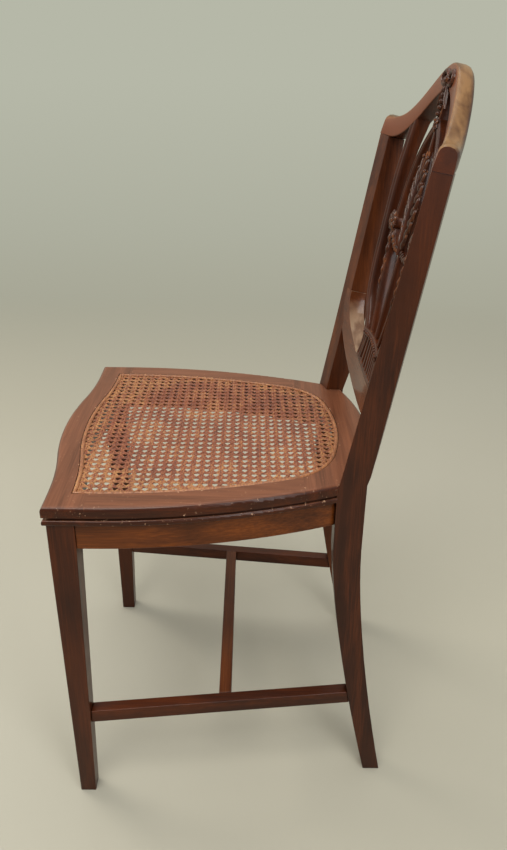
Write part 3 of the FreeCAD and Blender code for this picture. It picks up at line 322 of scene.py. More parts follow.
    def worn_edges(self, tree: bpy.types.NodeTree, edge: Any, patches: Any, facing: Any) -> Any:
        """Where the rounded edges are rubbed pale, but not at the ends, where two members meet.

        Args:
            tree: The node tree.
            edge: How near an edge is.
            patches: Uneven patches.
            facing: The surface's direction.

        Returns:
            The share's node.
        """
        lengthways = add_node(tree, Kind.VECTOR, {0: facing, 1: self.grain.value}, operation="DOT_PRODUCT")
        lengthways = add_node(tree, Kind.MATH, {0: lengthways.outputs["Value"]}, operation="ABSOLUTE")
        sides = add_node(tree, Kind.VECTOR, {0: facing}, operation="ABSOLUTE")
        sides = add_node(tree, Kind.AXES, {0: sides}).outputs
        flatness = add_node(tree, Kind.MATH, {0: sides[0], 1: sides[1]}, operation="MAXIMUM")
        flatness = add_node(tree, Kind.MATH, {0: flatness, 1: sides[2]}, operation="MAXIMUM")
        shares = (
            edge,
            add_node(tree, Kind.RAMP, {"Fac": patches}, [(0.4, 0.0), (0.62, 0.75)]),
            add_node(tree, Kind.RAMP, {"Fac": flatness}, [(0.82, 1.0), (0.97, 0.0)]),
            add_node(tree, Kind.RAMP, {"Fac": lengthways}, [(0.3, 1.0), (0.5, 0.0)]),
        )
        worn = shares[0]
        for share in shares[1:]:
            worn = add_node(tree, Kind.MATH, {0: worn, 1: share}, operation="MULTIPLY")
        return worn

    def chips(self, tree: bpy.types.NodeTree, place: Any, patches: Any) -> Any:
        """Small knocks, most of them near an edge.

        Args:
            tree: The node tree.
            place: The coordinates' socket.
            patches: Uneven patches.

        Returns:
            The share's node.
        """
        spots = add_node(tree, Kind.NOISE, {"Vector": place, "Scale": 1.0 / (self.chip_width * MM), "Detail": 3.0,
                                            "Roughness": 0.6})
        shares = (
            add_node(tree, Kind.RAMP, {"Fac": patches}, [(0.47, 0.0), (0.55, 1.0)]),
            self.near_edge(tree, self.chipped_reach, [(0.45, 1.0), (0.95, 0.12)]),
            self.chipped,
        )
        chips = add_node(tree, Kind.RAMP, {"Fac": spots}, [(0.63, 0.0), (0.66, 1.0)])
        for share in shares:
            chips = add_node(tree, Kind.MATH, {0: chips, 1: share}, operation="MULTIPLY")
        return chips


@dataclass(frozen=True)
class RattanCane:
    """Split rattan, woven with its bark side up.

    The widths are those of its own streaks, clouds and flecks in mm. The halves and middle_y are the seat's, for the
    paler edge.
    """

    # It gives the eye thin copper brown strips with a waxy gloss, streaked along their length, dark where the
    # seat is used and flecked with pale bark towards its edge.
    name: str
    turn: float = 0.0
    aged: str = "#87492f"
    dark: str = "#572a1b"
    pale: str = "#b48350"
    pale_everywhere: float = 0.0
    half_width: float = 172.0
    half_depth: float = 168.0
    middle_y: float = -42.0
    streak_width: float = 2.22222
    streak_stretch: float = 0.06
    cloud_width: float = 33.3333
    fleck_width: float = 3.84615
    relief_depth: float = 0.1

    def build(self) -> bpy.types.Material:
        """Make the material.

        Returns:
            The finished material.
        """
        material, tree = new_tree("split_rattan_" + self.name)
        place = add_node(tree, Kind.COORDINATES).outputs["Object"]
        turned = add_node(tree, Kind.MAPPING, {"Vector": place, "Rotation": (0.0, 0.0, self.turn),
                                               "Scale": (self.streak_stretch, 1.0, 1.0)})
        strand = add_node(tree, Kind.NOISE, {"Vector": turned, "Scale": 1.0 / (self.streak_width * MM), "Detail": 2.0})
        cloud = add_node(tree, Kind.NOISE, {"Vector": place, "Scale": 1.0 / (self.cloud_width * MM), "Detail": 4.0})
        tone = add_node(tree, Kind.MATH, {0: strand, 1: 0.65}, operation="MULTIPLY")
        tone = add_node(tree, Kind.MATH, {0: cloud, 1: 0.35, 2: tone}, operation="MULTIPLY_ADD")
        colour = add_node(tree, Kind.RAMP, {"Fac": tone},
                          [(0.34, srgb(self.dark)), (0.52, srgb(self.aged)), (0.7, srgb(self.pale))])
        share = self.pale_everywhere or self.edge_share(tree, place, cloud)
        mixed = add_node(tree, Kind.MIX, {0: share, 6: colour, 7: srgb(self.pale)}, data_type="RGBA")
        bump = add_node(tree, Kind.BUMP, {"Height": strand, "Strength": 0.3, "Distance": self.relief_depth * MM})
        shader = add_node(tree, Kind.SURFACE,
                          {"Base Color": mixed.outputs[2], "Roughness": 0.42, "Normal": bump, "IOR": 1.5,
                           "Coat Weight": 0.15, "Coat Roughness": 0.3})
        add_node(tree, Kind.OUTPUT, {"Surface": shader})
        return material

    def edge_share(self, tree: bpy.types.NodeTree, place: Any, cloud: Any) -> Any:
        """How pale the cane is at a point: more so and more flecked towards the seat's edge.

        Args:
            tree: The node tree.
            place: The coordinates' socket.
            cloud: Uneven clouds that break up the pale zone.

        Returns:
            The share's node.
        """
        middle = (0.0, self.middle_y * MM, 0.0)
        scale = (1.0 / (self.half_width * MM), 1.0 / (self.half_depth * MM), 0.0)
        moved = add_node(tree, Kind.VECTOR, {0: place, 1: middle}, operation="SUBTRACT")
        scaled = add_node(tree, Kind.VECTOR, {0: moved, 1: scale}, operation="MULTIPLY")
        away = add_node(tree, Kind.VECTOR, {0: scaled}, operation="LENGTH").outputs["Value"]
        away = add_node(tree, Kind.MATH, {0: cloud, 1: 0.2, 2: away}, operation="MULTIPLY_ADD")
        near = add_node(tree, Kind.RAMP, {"Fac": away}, [(0.92, 0.04), (1.15, 0.7)])
        fleck = add_node(tree, Kind.NOISE, {"Vector": place, "Scale": 1.0 / (self.fleck_width * MM), "Detail": 2.0})
        fleck = add_node(tree, Kind.RAMP, {"Fac": fleck}, [(0.42, 0.0), (0.62, 0.85)])
        return add_node(tree, Kind.MATH, {0: near, 1: fleck}, operation="MULTIPLY")


@dataclass(frozen=True)
class PlainFinish:
    """A finish of one tone with a little noise, for hidden blocks, dowels and screws."""

    name: str
    light: str
    dark: str
    metallic: float = 0.0
    roughness: float = 0.6
    mottle_width: float = 5.55556
    relief_depth: float = 0.1

    def build(self) -> bpy.types.Material:
        """Make the material.

        Returns:
            The finished material.
        """
        material, tree = new_tree(self.name)
        place = add_node(tree, Kind.COORDINATES).outputs["Object"]
        noise = add_node(tree, Kind.NOISE, {"Vector": place, "Scale": 1.0 / (self.mottle_width * MM), "Detail": 4.0})
        colour = add_node(tree, Kind.RAMP, {"Fac": noise}, [(0.35, srgb(self.dark)), (0.65, srgb(self.light))])
        bump = add_node(tree, Kind.BUMP, {"Height": noise, "Strength": 0.2, "Distance": self.relief_depth * MM})
        shader = add_node(tree, Kind.SURFACE, {"Base Color": colour, "Roughness": self.roughness,
                                               "Metallic": self.metallic, "Normal": bump})
        add_node(tree, Kind.OUTPUT, {"Surface": shader})
        return material


# Places and ways of making


@dataclass(frozen=True)
class ShieldSheet:
    """The leaning, bowed sheet that the chair's back is made in."""

    front_y: float
    seat_height: float = 450.0
    depth: float = 323.2
    lean: float = math.radians(10.8)
    bow: float = 30.0
    half: float = 160.0
    thickness: float = 20.0

    @property
    def radius(self) -> float:
        """The bow's radius."""
        return (self.half ** 2 + self.bow ** 2) / (2.0 * self.bow)

    def place(self, x: float, depth: float, height: float) -> Vector:
        """Put a point of the flat drawing into the chair.

        Args:
            x: Across the back, in mm.
            depth: Behind the back's face, in mm.
            height: Up the back from the seat, in mm.

        Returns:
            The point in metres.
        """
        ring = self.radius + depth
        behind = self.bow - self.radius + math.sqrt(ring ** 2 - x ** 2)
        y = behind * math.cos(self.lean) + height * math.sin(self.lean)
        z = height * math.cos(self.lean) - behind * math.sin(self.lean)
        return Vector((x, self.front_y + self.depth + y, self.seat_height + z)) * MM


def to_mesh(shape: bmesh.types.BMesh, name: str) -> bpy.types.Mesh:
    """Turn a finished bmesh into a mesh and free it.

    Args:
        shape: The bmesh.
        name: The mesh's name.

    Returns:
        The mesh.
    """
    mesh = bpy.data.meshes.new(name)
    shape.to_mesh(mesh)
    shape.free()
    return mesh


def loft(name: str, rings: Sequence[Sequence[Vector]]) -> bpy.types.Mesh:
    """Carry a closed ring from station to station and cap both ends.

    Args:
        name: The mesh's name.
        rings: The ring's points at each station.

    Returns:
        The mesh on the flat.
    """
    shape = bmesh.new()
    follow = [shape.verts.new(point) for point in rings[0]]
    count = len(follow)
    for index in range(count):
        shape.edges.new((follow[index], follow[(index + 1) % count]))
    shape.faces.new(follow)
    for ring in rings[1:]:
        edges = [shape.edges.get((follow[index], follow[(index + 1) % count])) for index in range(count)]
        made = bmesh.ops.extrude_edge_only(shape, edges=edges)["geom"]
        fresh = {item for item in made if isinstance(item, bmesh.types.BMVert)}
        follow = [next(e.other_vert(v) for e in v.link_edges if e.other_vert(v) in fresh) for v in follow]
        for vertex, point in zip(follow, ring):
            vertex.co = point
    shape.faces.new(follow)
    return to_mesh(shape, name)


def rounded_bar(width: float, thick: float, rounds: Sequence[float], groove: float = 0.0) -> list[Point]:
    """The section of a bar, across and from front (low) to back, with its corners rounded.

    Args:
        width: Across the bar.
        thick: From front to back.
        rounds: Corner radii: high front, high back, low back and low front.
        groove: Depth of a groove down the middle of the front.

    Returns:
        The section's corners, anticlockwise.
    """
    half = width / 2.0
    high_front, high_back, low_back, low_front = rounds
    corners = (
        (half - high_front, high_front, high_front, -90.0),
        (half - high_back, thick - high_back, high_back, 0.0),
        (low_back - half, thick - low_back, low_back, 90.0),
        (low_front - half, low_front, low_front, 180.0),
    )
    section = []
    for x, y, radius, start in corners:
        for step in range(4):
            angle = math.radians(start + 30.0 * step)
            section.append((x + radius * math.cos(angle), y + radius * math.sin(angle)))
    if groove:
        section += [(-width * 0.16, 0.0), (0.0, groove), (width * 0.16, 0.0)]
    return section


def draw(name: str, runs: Iterable[Sequence[Station]], straight: bool, closed: bool) -> bpy.types.Object:
    """Draw runs of points as one curve object.

    Args:
        name: The object's name.
        runs: For each run its points: across, along, up, and the size of a section there as a share.
        straight: Whether a run goes straight between its points.
        closed: Whether a run is a ring.

    Returns:
        The curve object, linked into the scene.
    """
    data = bpy.data.curves.new(name, "CURVE")
    data.dimensions = "3D"
    for run in runs:
        line = data.splines.new("POLY" if straight else "BEZIER")
        points = line.points if straight else line.bezier_points
        points.add(len(run) - 1)
        for point, (x, y, z, size) in zip(points, run):
            point.co = (x, y, z, 1.0) if straight else (x, y, z)
            point.radius = size
            if not straight:
                point.handle_left_type = point.handle_right_type = "AUTO"
        line.use_cyclic_u = closed
    made = bpy.data.objects.new(name, data)
    bpy.context.scene.collection.objects.link(made)
    return made


def trace(runs: Iterable[Sequence[Station]], section: Sequence[Point], straight: bool = True,
          closed: bool = False, steps: int = 6) -> bpy.types.Mesh:
    """Run a section along each of some runs of points.

    Args:
        runs: For each run its points: across, along, up, and the section's size there as a share.
        section: The section's points, across and up, in mm.
        straight: Whether a run goes straight between its points.
        closed: Whether a run is a ring.
        steps: Divisions between two points of a smooth run.

    Returns:
        The mesh, still on the flat and in mm.
    """
    profile = draw("section", [[(x, y, 0.0, 1.0) for x, y in section]], True, True)
    path = draw("path", runs, straight, closed)
    path.data.twist_mode = "Z_UP"
    path.data.bevel_mode = "OBJECT"
    path.data.bevel_object = profile
    path.data.use_fill_caps = True
    path.data.resolution_u = steps
    bpy.context.view_layer.update()
    mesh = bpy.data.meshes.new_from_object(path.evaluated_get(bpy.context.evaluated_depsgraph_get()))
    for item in (path, profile):
        bpy.data.objects.remove(item)
    return mesh


def sweep(path: Sequence[Point], section: Sequence[Point], shares: Sequence[float] | None = None, level: float = 0.0,
          steps: int = 6) -> bpy.types.Mesh:
    """Run a section along one smooth path drawn on the flat.

    Args:
        path: Points that the path runs through, in mm.
        section: The section's points, across and up, in mm.
        shares: The section's size at each point, as a share.
        level: The path's height over the flat, in mm.
        steps: Divisions between two points.

    Returns:
        The mesh, still on the flat and in mm.
    """
    sizes = shares or [1.0] * len(path)
    run = [(x, y, level, size) for (x, y), size in zip(path, sizes)]
    return trace([run], section, straight=False, steps=steps)


def dome(x: float, y: float, radius: float, height: float, base: float = 0.0) -> bpy.types.Mesh:
    """A low round boss on the flat, its middle standing up from a base.

    Args:
        x: Its middle across the flat.
        y: Its middle up the flat.
        radius: Its radius.
        height: How far it stands out.
        base: The base's depth.

    Returns:
        The boss.
    """
    shape = bmesh.new()
    bmesh.ops.create_uvsphere(shape, u_segments=16, v_segments=8, radius=radius)
    bmesh.ops.scale(shape, vec=(1.0, 1.0, height / radius), verts=shape.verts)
    bmesh.ops.translate(shape, vec=(x, y, base), verts=shape.verts)
    return to_mesh(shape, "dome")


def walk(route: Sequence[Point], share: float) -> Point:
    """Find the point at a share of the way along straight runs.

    Args:
        route: The runs' ends.
        share: How far along, counting each run the same.

    Returns:
        The point.
    """
    place = share * (len(route) - 1)
    index = min(int(place), len(route) - 2)
    part = place - index
    (x, y), (next_x, next_y) = route[index], route[index + 1]
    return x + (next_x - x) * part, y + (next_y - y) * part


def finish_piece(name: str, meshes: Iterable[bpy.types.Mesh], place: Callable[[Vector], Vector],
                 material: bpy.types.Material, replaced: Sequence[str] = ()) -> bpy.types.Object:
    """Join flat meshes into one piece of the chair, put it in place and dress it.

    Args:
        name: The piece's name.
        meshes: Its meshes, on the flat and in mm.
        place: What turns a point of the flat to one of the chair, in metres.
        material: Its material.
        replaced: The nodes that it stands for.

    Returns:
        The finished object.
    """
    shape = bmesh.new()
    for mesh in meshes:
        shape.from_mesh(mesh)
        bpy.data.meshes.remove(mesh)
    bmesh.ops.remove_doubles(shape, verts=shape.verts, dist=0.001)
    for vertex in shape.verts:
        vertex.co = place(vertex.co)
    bmesh.ops.recalc_face_normals(shape, faces=shape.faces)
    joined = to_mesh(shape, name)
    joined.materials.append(material)
    piece = bpy.data.objects.new(name, joined)
    bpy.context.scene.collection.objects.link(piece)
    joined.shade_smooth()
    joined.set_sharp_from_angle(angle=SHARP_ANGLE)
    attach(piece, BODY)
    if replaced:
        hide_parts(*replaced)
    log.info("%s: %d faces", name, len(joined.polygons))
    return piece


# The shield back


@dataclass
class ShieldBack:
    """The crest, the shield's curved base and the carved splat, drawn flat and bent into place.

    Heights run up the back from the seat and depths run behind the back's face, both in mm.
    Corner radii are given as high front, high back, low back and low front.
    """

    sheet: ShieldSheet
    crest_wood: bpy.types.Material
    base_wood: bpy.types.Material
    splat_wood: bpy.types.Material
    post_top: float = 353.0
    horn_height: float = 378.0
    crest_rise: float = 70.0
    wave_half: float = 142.0
    crest_middle: float = 27.5
    crest_steps: int = 80
    crest_rounds: tuple[float, ...] = (3.0, 8.0, 4.0, 1.6)
    end_rounds: tuple[float, ...] = (8.0, 9.5, 0.5, 0.5)
    end_length: float = 30.0
    tip_length: float = 3.0
    tip_shrink: float = 0.14
    base_joint: float = 151.0
    base_inner: Point = (127.0, 70.0)
    base_outer: Point = (147.0, 104.0)
    base_steps: int = 64
    splat_thickness: float = 14.0
    bar_round: float = 2.4
    bar_back_round: float = 1.0
    rib_front: float = 0.15
    rib_groove: float = 1.5
    rosette: Point = (62.0, 266.0)
    rosette_radius: float = 12.5
    plume: Point = (238.0, 356.0)
    plume_front: float = 1.0
    arch_top: float = 388.0
    knot_height: float = 430.0
    fan_rays: int = 8
    fan_top: float = 128.0
    fan_foot_half: float = 54.0

    def bend(self, point: Vector) -> Vector:
        """Take a point of the flat drawing, its depth up, to the bent back."""
        return self.sheet.place(point.x, point.z, point.y)

    def crest_top(self, x: float) -> float:
        """Top of the crest at a station across it."""
        share = 0.0 if abs(x) >= self.wave_half else 0.5 + 0.5 * math.cos(math.pi * x / self.wave_half)
        return self.horn_height + self.crest_rise * share

    def crest_low(self, x: float) -> float:
        """Underside of the crest at a station across it.

        Args:
            x: The station.

        Returns:
            The underside's height.
        """
        end = self.horn_height - self.post_top
        share = (self.crest_top(x) - self.horn_height) / self.crest_rise
        return self.crest_top(x) - end - (self.crest_middle - end) * share

    def base_low(self, x: float) -> float:
        """Inner edge of the shield's base at a station across it."""
        half, drop = self.base_inner
        return self.base_joint - drop * math.sqrt(1.0 - (x / half) ** 2)

    def build_crest(self) -> None:
        """The crest rail, its edges rounded and its ends rolled over the posts."""
        rings = []
        middle_depth = self.sheet.thickness / 2.0
        for step in range(self.crest_steps + 1):
            x = self.sheet.half * (2.0 * step / self.crest_steps - 1.0)
            low = self.crest_low(x)
            tall = self.crest_top(x) - low
            inward = min(1.0, (self.sheet.half - abs(x)) / self.end_length)
            rounds = [end + (along - end) * inward for end, along in zip(self.end_rounds, self.crest_rounds)]
            tip = max(0.0, abs(x) - (self.sheet.half - self.tip_length)) / self.tip_length
            ring = []
            for across, depth in rounded_bar(tall, self.sheet.thickness, rounds):
                shrink = 1.0 - self.tip_shrink * tip ** 2 * max(0.0, min(1.0, across / 4.0))
                height = low + tall / 2.0 + across * shrink
                ring.append(Vector((x, height, middle_depth + (depth - middle_depth) * shrink)))
            rings.append(ring)
        finish_piece("crest", [loft("crest", rings)], self.bend, self.crest_wood, ["crest_rail"])

    def build_base(self) -> None:
        """The shield's curved base, between two half ellipses."""
        section = rounded_bar(1.0, self.sheet.thickness, [0.12] * 4)
        rings = []
        for step in range(self.base_steps + 1):
            angle = math.pi * (1.0 + step / self.base_steps)
            inner, outer = (Vector((math.cos(angle) * half, math.sin(angle) * drop))
                            for half, drop in (self.base_inner, self.base_outer))
            ring = []
            for across, depth in section:
                spot = inner.lerp(outer, across + 0.5)
                ring.append(Vector((spot.x, self.base_joint + spot.y, depth)))
            rings.append(ring)
        finish_piece("shield_foot", [loft("foot", rings)], self.bend, self.base_wood, ["shield_base"])

    def bar(self, path: Sequence[Point], width: float, shares: Sequence[float] | None = None, front: float = 0.0,
            groove: float = 0.0) -> bpy.types.Mesh:
        """One moulded bar of the splat.

        Args:
            path: Points up the bar.
            width: Its width.
            shares: Shares of that width at the points.
            front: How far its face lies behind the back's face.
            groove: Depth of a groove down its face.

        Returns:
            The bar on the flat.
        """
        face_round = min(self.bar_round, width * 0.3)
        rounds = (face_round, self.bar_back_round, self.bar_back_round, face_round)
        section = rounded_bar(width, self.splat_thickness - front, rounds, groove)
        return sweep(path, section, shares, level=front, steps=8)

    def petal(self, path: Sequence[Point], width: float, rise: float, shares: Sequence[float],
              base: float) -> bpy.types.Mesh:
        """A carved leaf or feather: a half round ridge that swells and tapers along its path.

        Args:
            path: Points along it.
            width: Its width.
            rise: How far it stands forward.
            shares: Shares of its size at the points.
            base: How far its foot lies behind the back's face.

        Returns:
            The leaf on the flat.
        """
        section = [(width * 0.5 * math.cos(a), -rise * math.sin(a)) for a in [math.pi * i / 6.0 for i in range(7)]]
        return sweep(path, section, shares, level=base, steps=4)

    def flower(self, x: float, y: float, radius: float, count: int, base: float) -> list[bpy.types.Mesh]:
        """A round rosette of petals about a button.

        Args:
            x: Its middle across the back.
            y: Its middle up the back.
            radius: Its radius.
            count: How many petals it has.
            base: How far the petals' feet lie behind the back's face.

        Returns:
            The petals and the button.
        """
        parts = []
        for index in range(count):
            angle = 2.0 * math.pi * (index + 0.5) / count
            ray = [(x + radius * share * math.cos(angle), y + radius * share * math.sin(angle))
                   for share in (0.2, 0.6, 0.98)]
            parts.append(self.petal(ray, radius * 0.72, 2.6, (0.6, 1.0, 0.35), base))
        parts.append(dome(x, y, radius * 0.3, 2.8, base - 0.8))
        return parts

    def build_splat(self) -> None:
        """The pierced and carved splat."""
        meshes = []
        x, y = self.rosette
        for hand in (1.0, -1.0):
            for route, width, shares in self.ribs():
                path = [(hand * across, up) for across, up in route]
                meshes.append(self.bar(path, width, shares, self.rib_front, self.rib_groove))
            meshes += self.swag(hand)
            meshes += self.drapes(hand)
            meshes += self.flower(hand * x, y, self.rosette_radius, 8, 0.5)
            meshes.append(self.disc(hand * x, y, self.rosette_radius - 1.0))
        meshes.append(self.bar([(0, 122), (0, 180), (0, 246)], 8.0, (1.2, 0.9, 0.9), groove=1.0))
        meshes.append(self.bar([(0, 350), (0, self.crest_low(0.0) + 2.0)], 7.0))
        meshes += self.flower(0.0, self.arch_top - 3.0, 8.5, 6, 0.0)
        meshes += self.fan()
        meshes += self.feathers()
        meshes += self.bow_knot()
        finish_piece("carved_splat", meshes, self.bend, self.splat_wood, ["splat"])

    def ribs(self) -> list[tuple[list[Point], float, list[float]]]:
        """The long bars to the sitter's left of the middle.

        Returns:
            Each bar's route, width and swelling.
        """
        outer = [(54.0, 82.0), (48.5, 120.0), (60.0, 143.0), (75.0, 166.0), (84.0, 200.0), (88.0, 242.0),
                 (91.0, 285.0), (91.0, 322.0), (88.0, 350.0), (84.0, self.crest_low(84.0) + 12.0)]
        arch = [(57.0, 262.0), (55.0, 285.0), (51.0, 313.0), (40.0, 346.0), (22.0, 371.0), (0.0, self.arch_top)]
        inner = [(24.0, 122.0), (34.0, 152.0), (46.0, 196.0), (56.0, 236.0), (61.0, 262.0)]
        swelling = [1.15, 1.0] + [1.0] * 6 + [1.05, 1.3]
        return [(outer, 13.0, swelling), (arch, 9.0, [1.0] * 6), (inner, 8.5, [1.0] * 5)]

    def disc(self, x: float, y: float, radius: float) -> bpy.types.Mesh:
        """The plain round ground behind a rosette.

        Args:
            x: Its middle across the back.
            y: Its middle up the back.
            radius: Its radius.

        Returns:
            The ground, as thick as the splat.
        """
        shape = bmesh.new()
        thick = self.splat_thickness
        bmesh.ops.create_cone(shape, cap_ends=True, segments=28, radius1=radius, radius2=radius, depth=thick)
        bmesh.ops.translate(shape, vec=(x, y, thick / 2.0), verts=shape.verts)
        return to_mesh(shape, "disc")

    def swag(self, hand: float) -> list[bpy.types.Mesh]:
        """A swag of husks from a rosette down to the plume's foot, on its own bar.

        Args:
            hand: 1 for the sitter's left, -1 for the right.

        Returns:
            The bar and its husks.
        """
        route = [(62.0, 262.0), (48.0, 246.0), (31.0, 239.0), (14.0, 240.0), (0.0, 244.0)]
        route = [(hand * x, y) for x, y in route]
        parts = [self.bar(route, 7.0, front=2.0)]
        husks = 9
        for index in range(husks):
            share = (index + 0.5) / husks
            here, ahead = walk(route, share), walk(route, min(share + 0.09, 1.0))
            between = ((here[0] + ahead[0]) / 2.0, (here[1] + ahead[1]) / 2.0)
            parts.append(self.petal([here, between, ahead], 8.5, 3.0, (0.9, 1.0, 0.2), 2.6))
        return parts

    def drapes(self, hand: float) -> list[bpy.types.Mesh]:
        """A tail of husks that hangs below a rosette, between the two ribs.

        Args:
            hand: 1 for the sitter's left, -1 for the right.

        Returns:
            The husks, smaller as they hang lower.
        """
        parts = []
        for index in range(5):
            top = 252.0 - 13.0 * index
            size = 1.0 - 0.13 * index
            route = [(hand * (59.5 - (262.0 - height) * 0.19), height) for height in (top, top - 7.0, top - 14.0)]
            parts.append(self.petal(route, 8.0 * size, 3.4, (0.5, 1.0, 0.15), 1.2))
        return parts

    def fan(self) -> list[bpy.types.Mesh]:
        """The fan from the neck to the shield's base.

        Returns:
            Its rays with slots between them, its rims, and the beads along the upper one.
        """
        parts = []
        for index in range(self.fan_rays):
            share = 2.0 * (index + 0.5) / self.fan_rays - 1.0
            foot = self.fan_foot_half * share
            route = [(share * 44.0, 125.0), (share * 47.0, 108.0), (foot, self.base_low(foot) - 2.0)]
            parts.append(self.bar(route, 7.6, (0.8, 1.0, 1.25), front=0.6))
        low, top = self.base_low(0.0), self.fan_top
        upper = [(-52.0, top - 4.0), (-26.0, top - 1.0), (0.0, top), (26.0, top - 1.0), (52.0, top - 4.0)]
        lower = [(-57.0, low + 9.0), (-30.0, low + 3.5), (0.0, low + 2.0), (30.0, low + 3.5), (57.0, low + 9.0)]
        parts.append(self.bar(upper, 10.0, front=-1.0))
        parts.append(self.bar(lower, 8.0, front=0.2))
        for index in range(-6, 7):
            place = index * 7.6
            parts.append(dome(place, top - (place / 26.0) ** 2, 2.6, 2.2, -1.0))
        return parts

    def feathers(self) -> list[bpy.types.Mesh]:
        """The plume.

        Returns:
            Its stem and the curling feathers to each side.
        """
        low, high = self.plume
        front = self.plume_front
        stem = [(0.0, low - 2.0), (0.0, (low + high) / 2.0), (0.0, high)]
        parts = [self.bar(stem, 26.0, (0.45, 1.0, 0.3), front)]
        parts.append(self.petal([(0.0, low), (0.0, low + 60.0), (0.0, high)], 7.0, 5.0, (0.8, 1.0, 0.5), front))
        for level in range(7):
            start = low + 6.0 + 13.5 * level
            reach = 22.0 * math.sin(math.pi * (0.22 + 0.72 * level / 7.0))
            for hand in (1.0, -1.0):
                route = [(hand * 1.5, start), (hand * reach * 0.6, start + 8.0), (hand * reach, start + 20.0),
                         (hand * reach * 0.86, start + 27.0)]
                parts.append(self.petal(route, 8.5, 4.2, (0.4, 1.0, 0.75, 0.25), front))
                parts.append(dome(hand * reach * 0.9, start + 25.0, 2.6, 3.0, front - 1.0))
        return parts

    def bow_knot(self) -> list[bpy.types.Mesh]:
        """The knot carved on the crest.

        Returns:
            Its loops and tails, and a string of husks that falls to the arch.
        """
        parts = []
        middle = self.knot_height
        for hand in (1.0, -1.0):
            loop = [(0.0, middle), (hand * 9.0, middle + 8.0), (hand * 19.0, middle + 7.0), (hand * 22.0, middle),
                    (hand * 14.0, middle - 4.5), (0.0, middle - 1.0)]
            parts.append(self.petal(loop, 6.0, 4.0, (0.7, 1.0, 1.0, 1.0, 1.0, 0.7), 0.5))
            tail = [(0.0, middle - 1.0), (hand * 8.0, middle - 10.0), (hand * 12.0, middle - 19.0),
                    (hand * 20.0, middle - 28.0)]
            parts.append(self.petal(tail, 5.5, 3.6, (0.7, 1.0, 1.0, 0.4), 0.5))
        parts.append(dome(0.0, middle, 5.4, 6.0, 0.0))
        for index in range(6):
            parts.append(dome(0.0, middle - 9.0 - 6.4 * index, 3.6 - 0.2 * index, 4.4, 0.0))
        return parts


# The caned seat


@dataclass(frozen=True)
class Layer:
    """The strands of the weave that run one way.

    The level is their height over the panel, the rise how far they weave up and down, and the period the distance
    from one high place to the next, all in mm.
    """

    name: str
    way: Point
    offsets: Sequence[float]
    level: float
    rise: float
    period: float
    turn: float


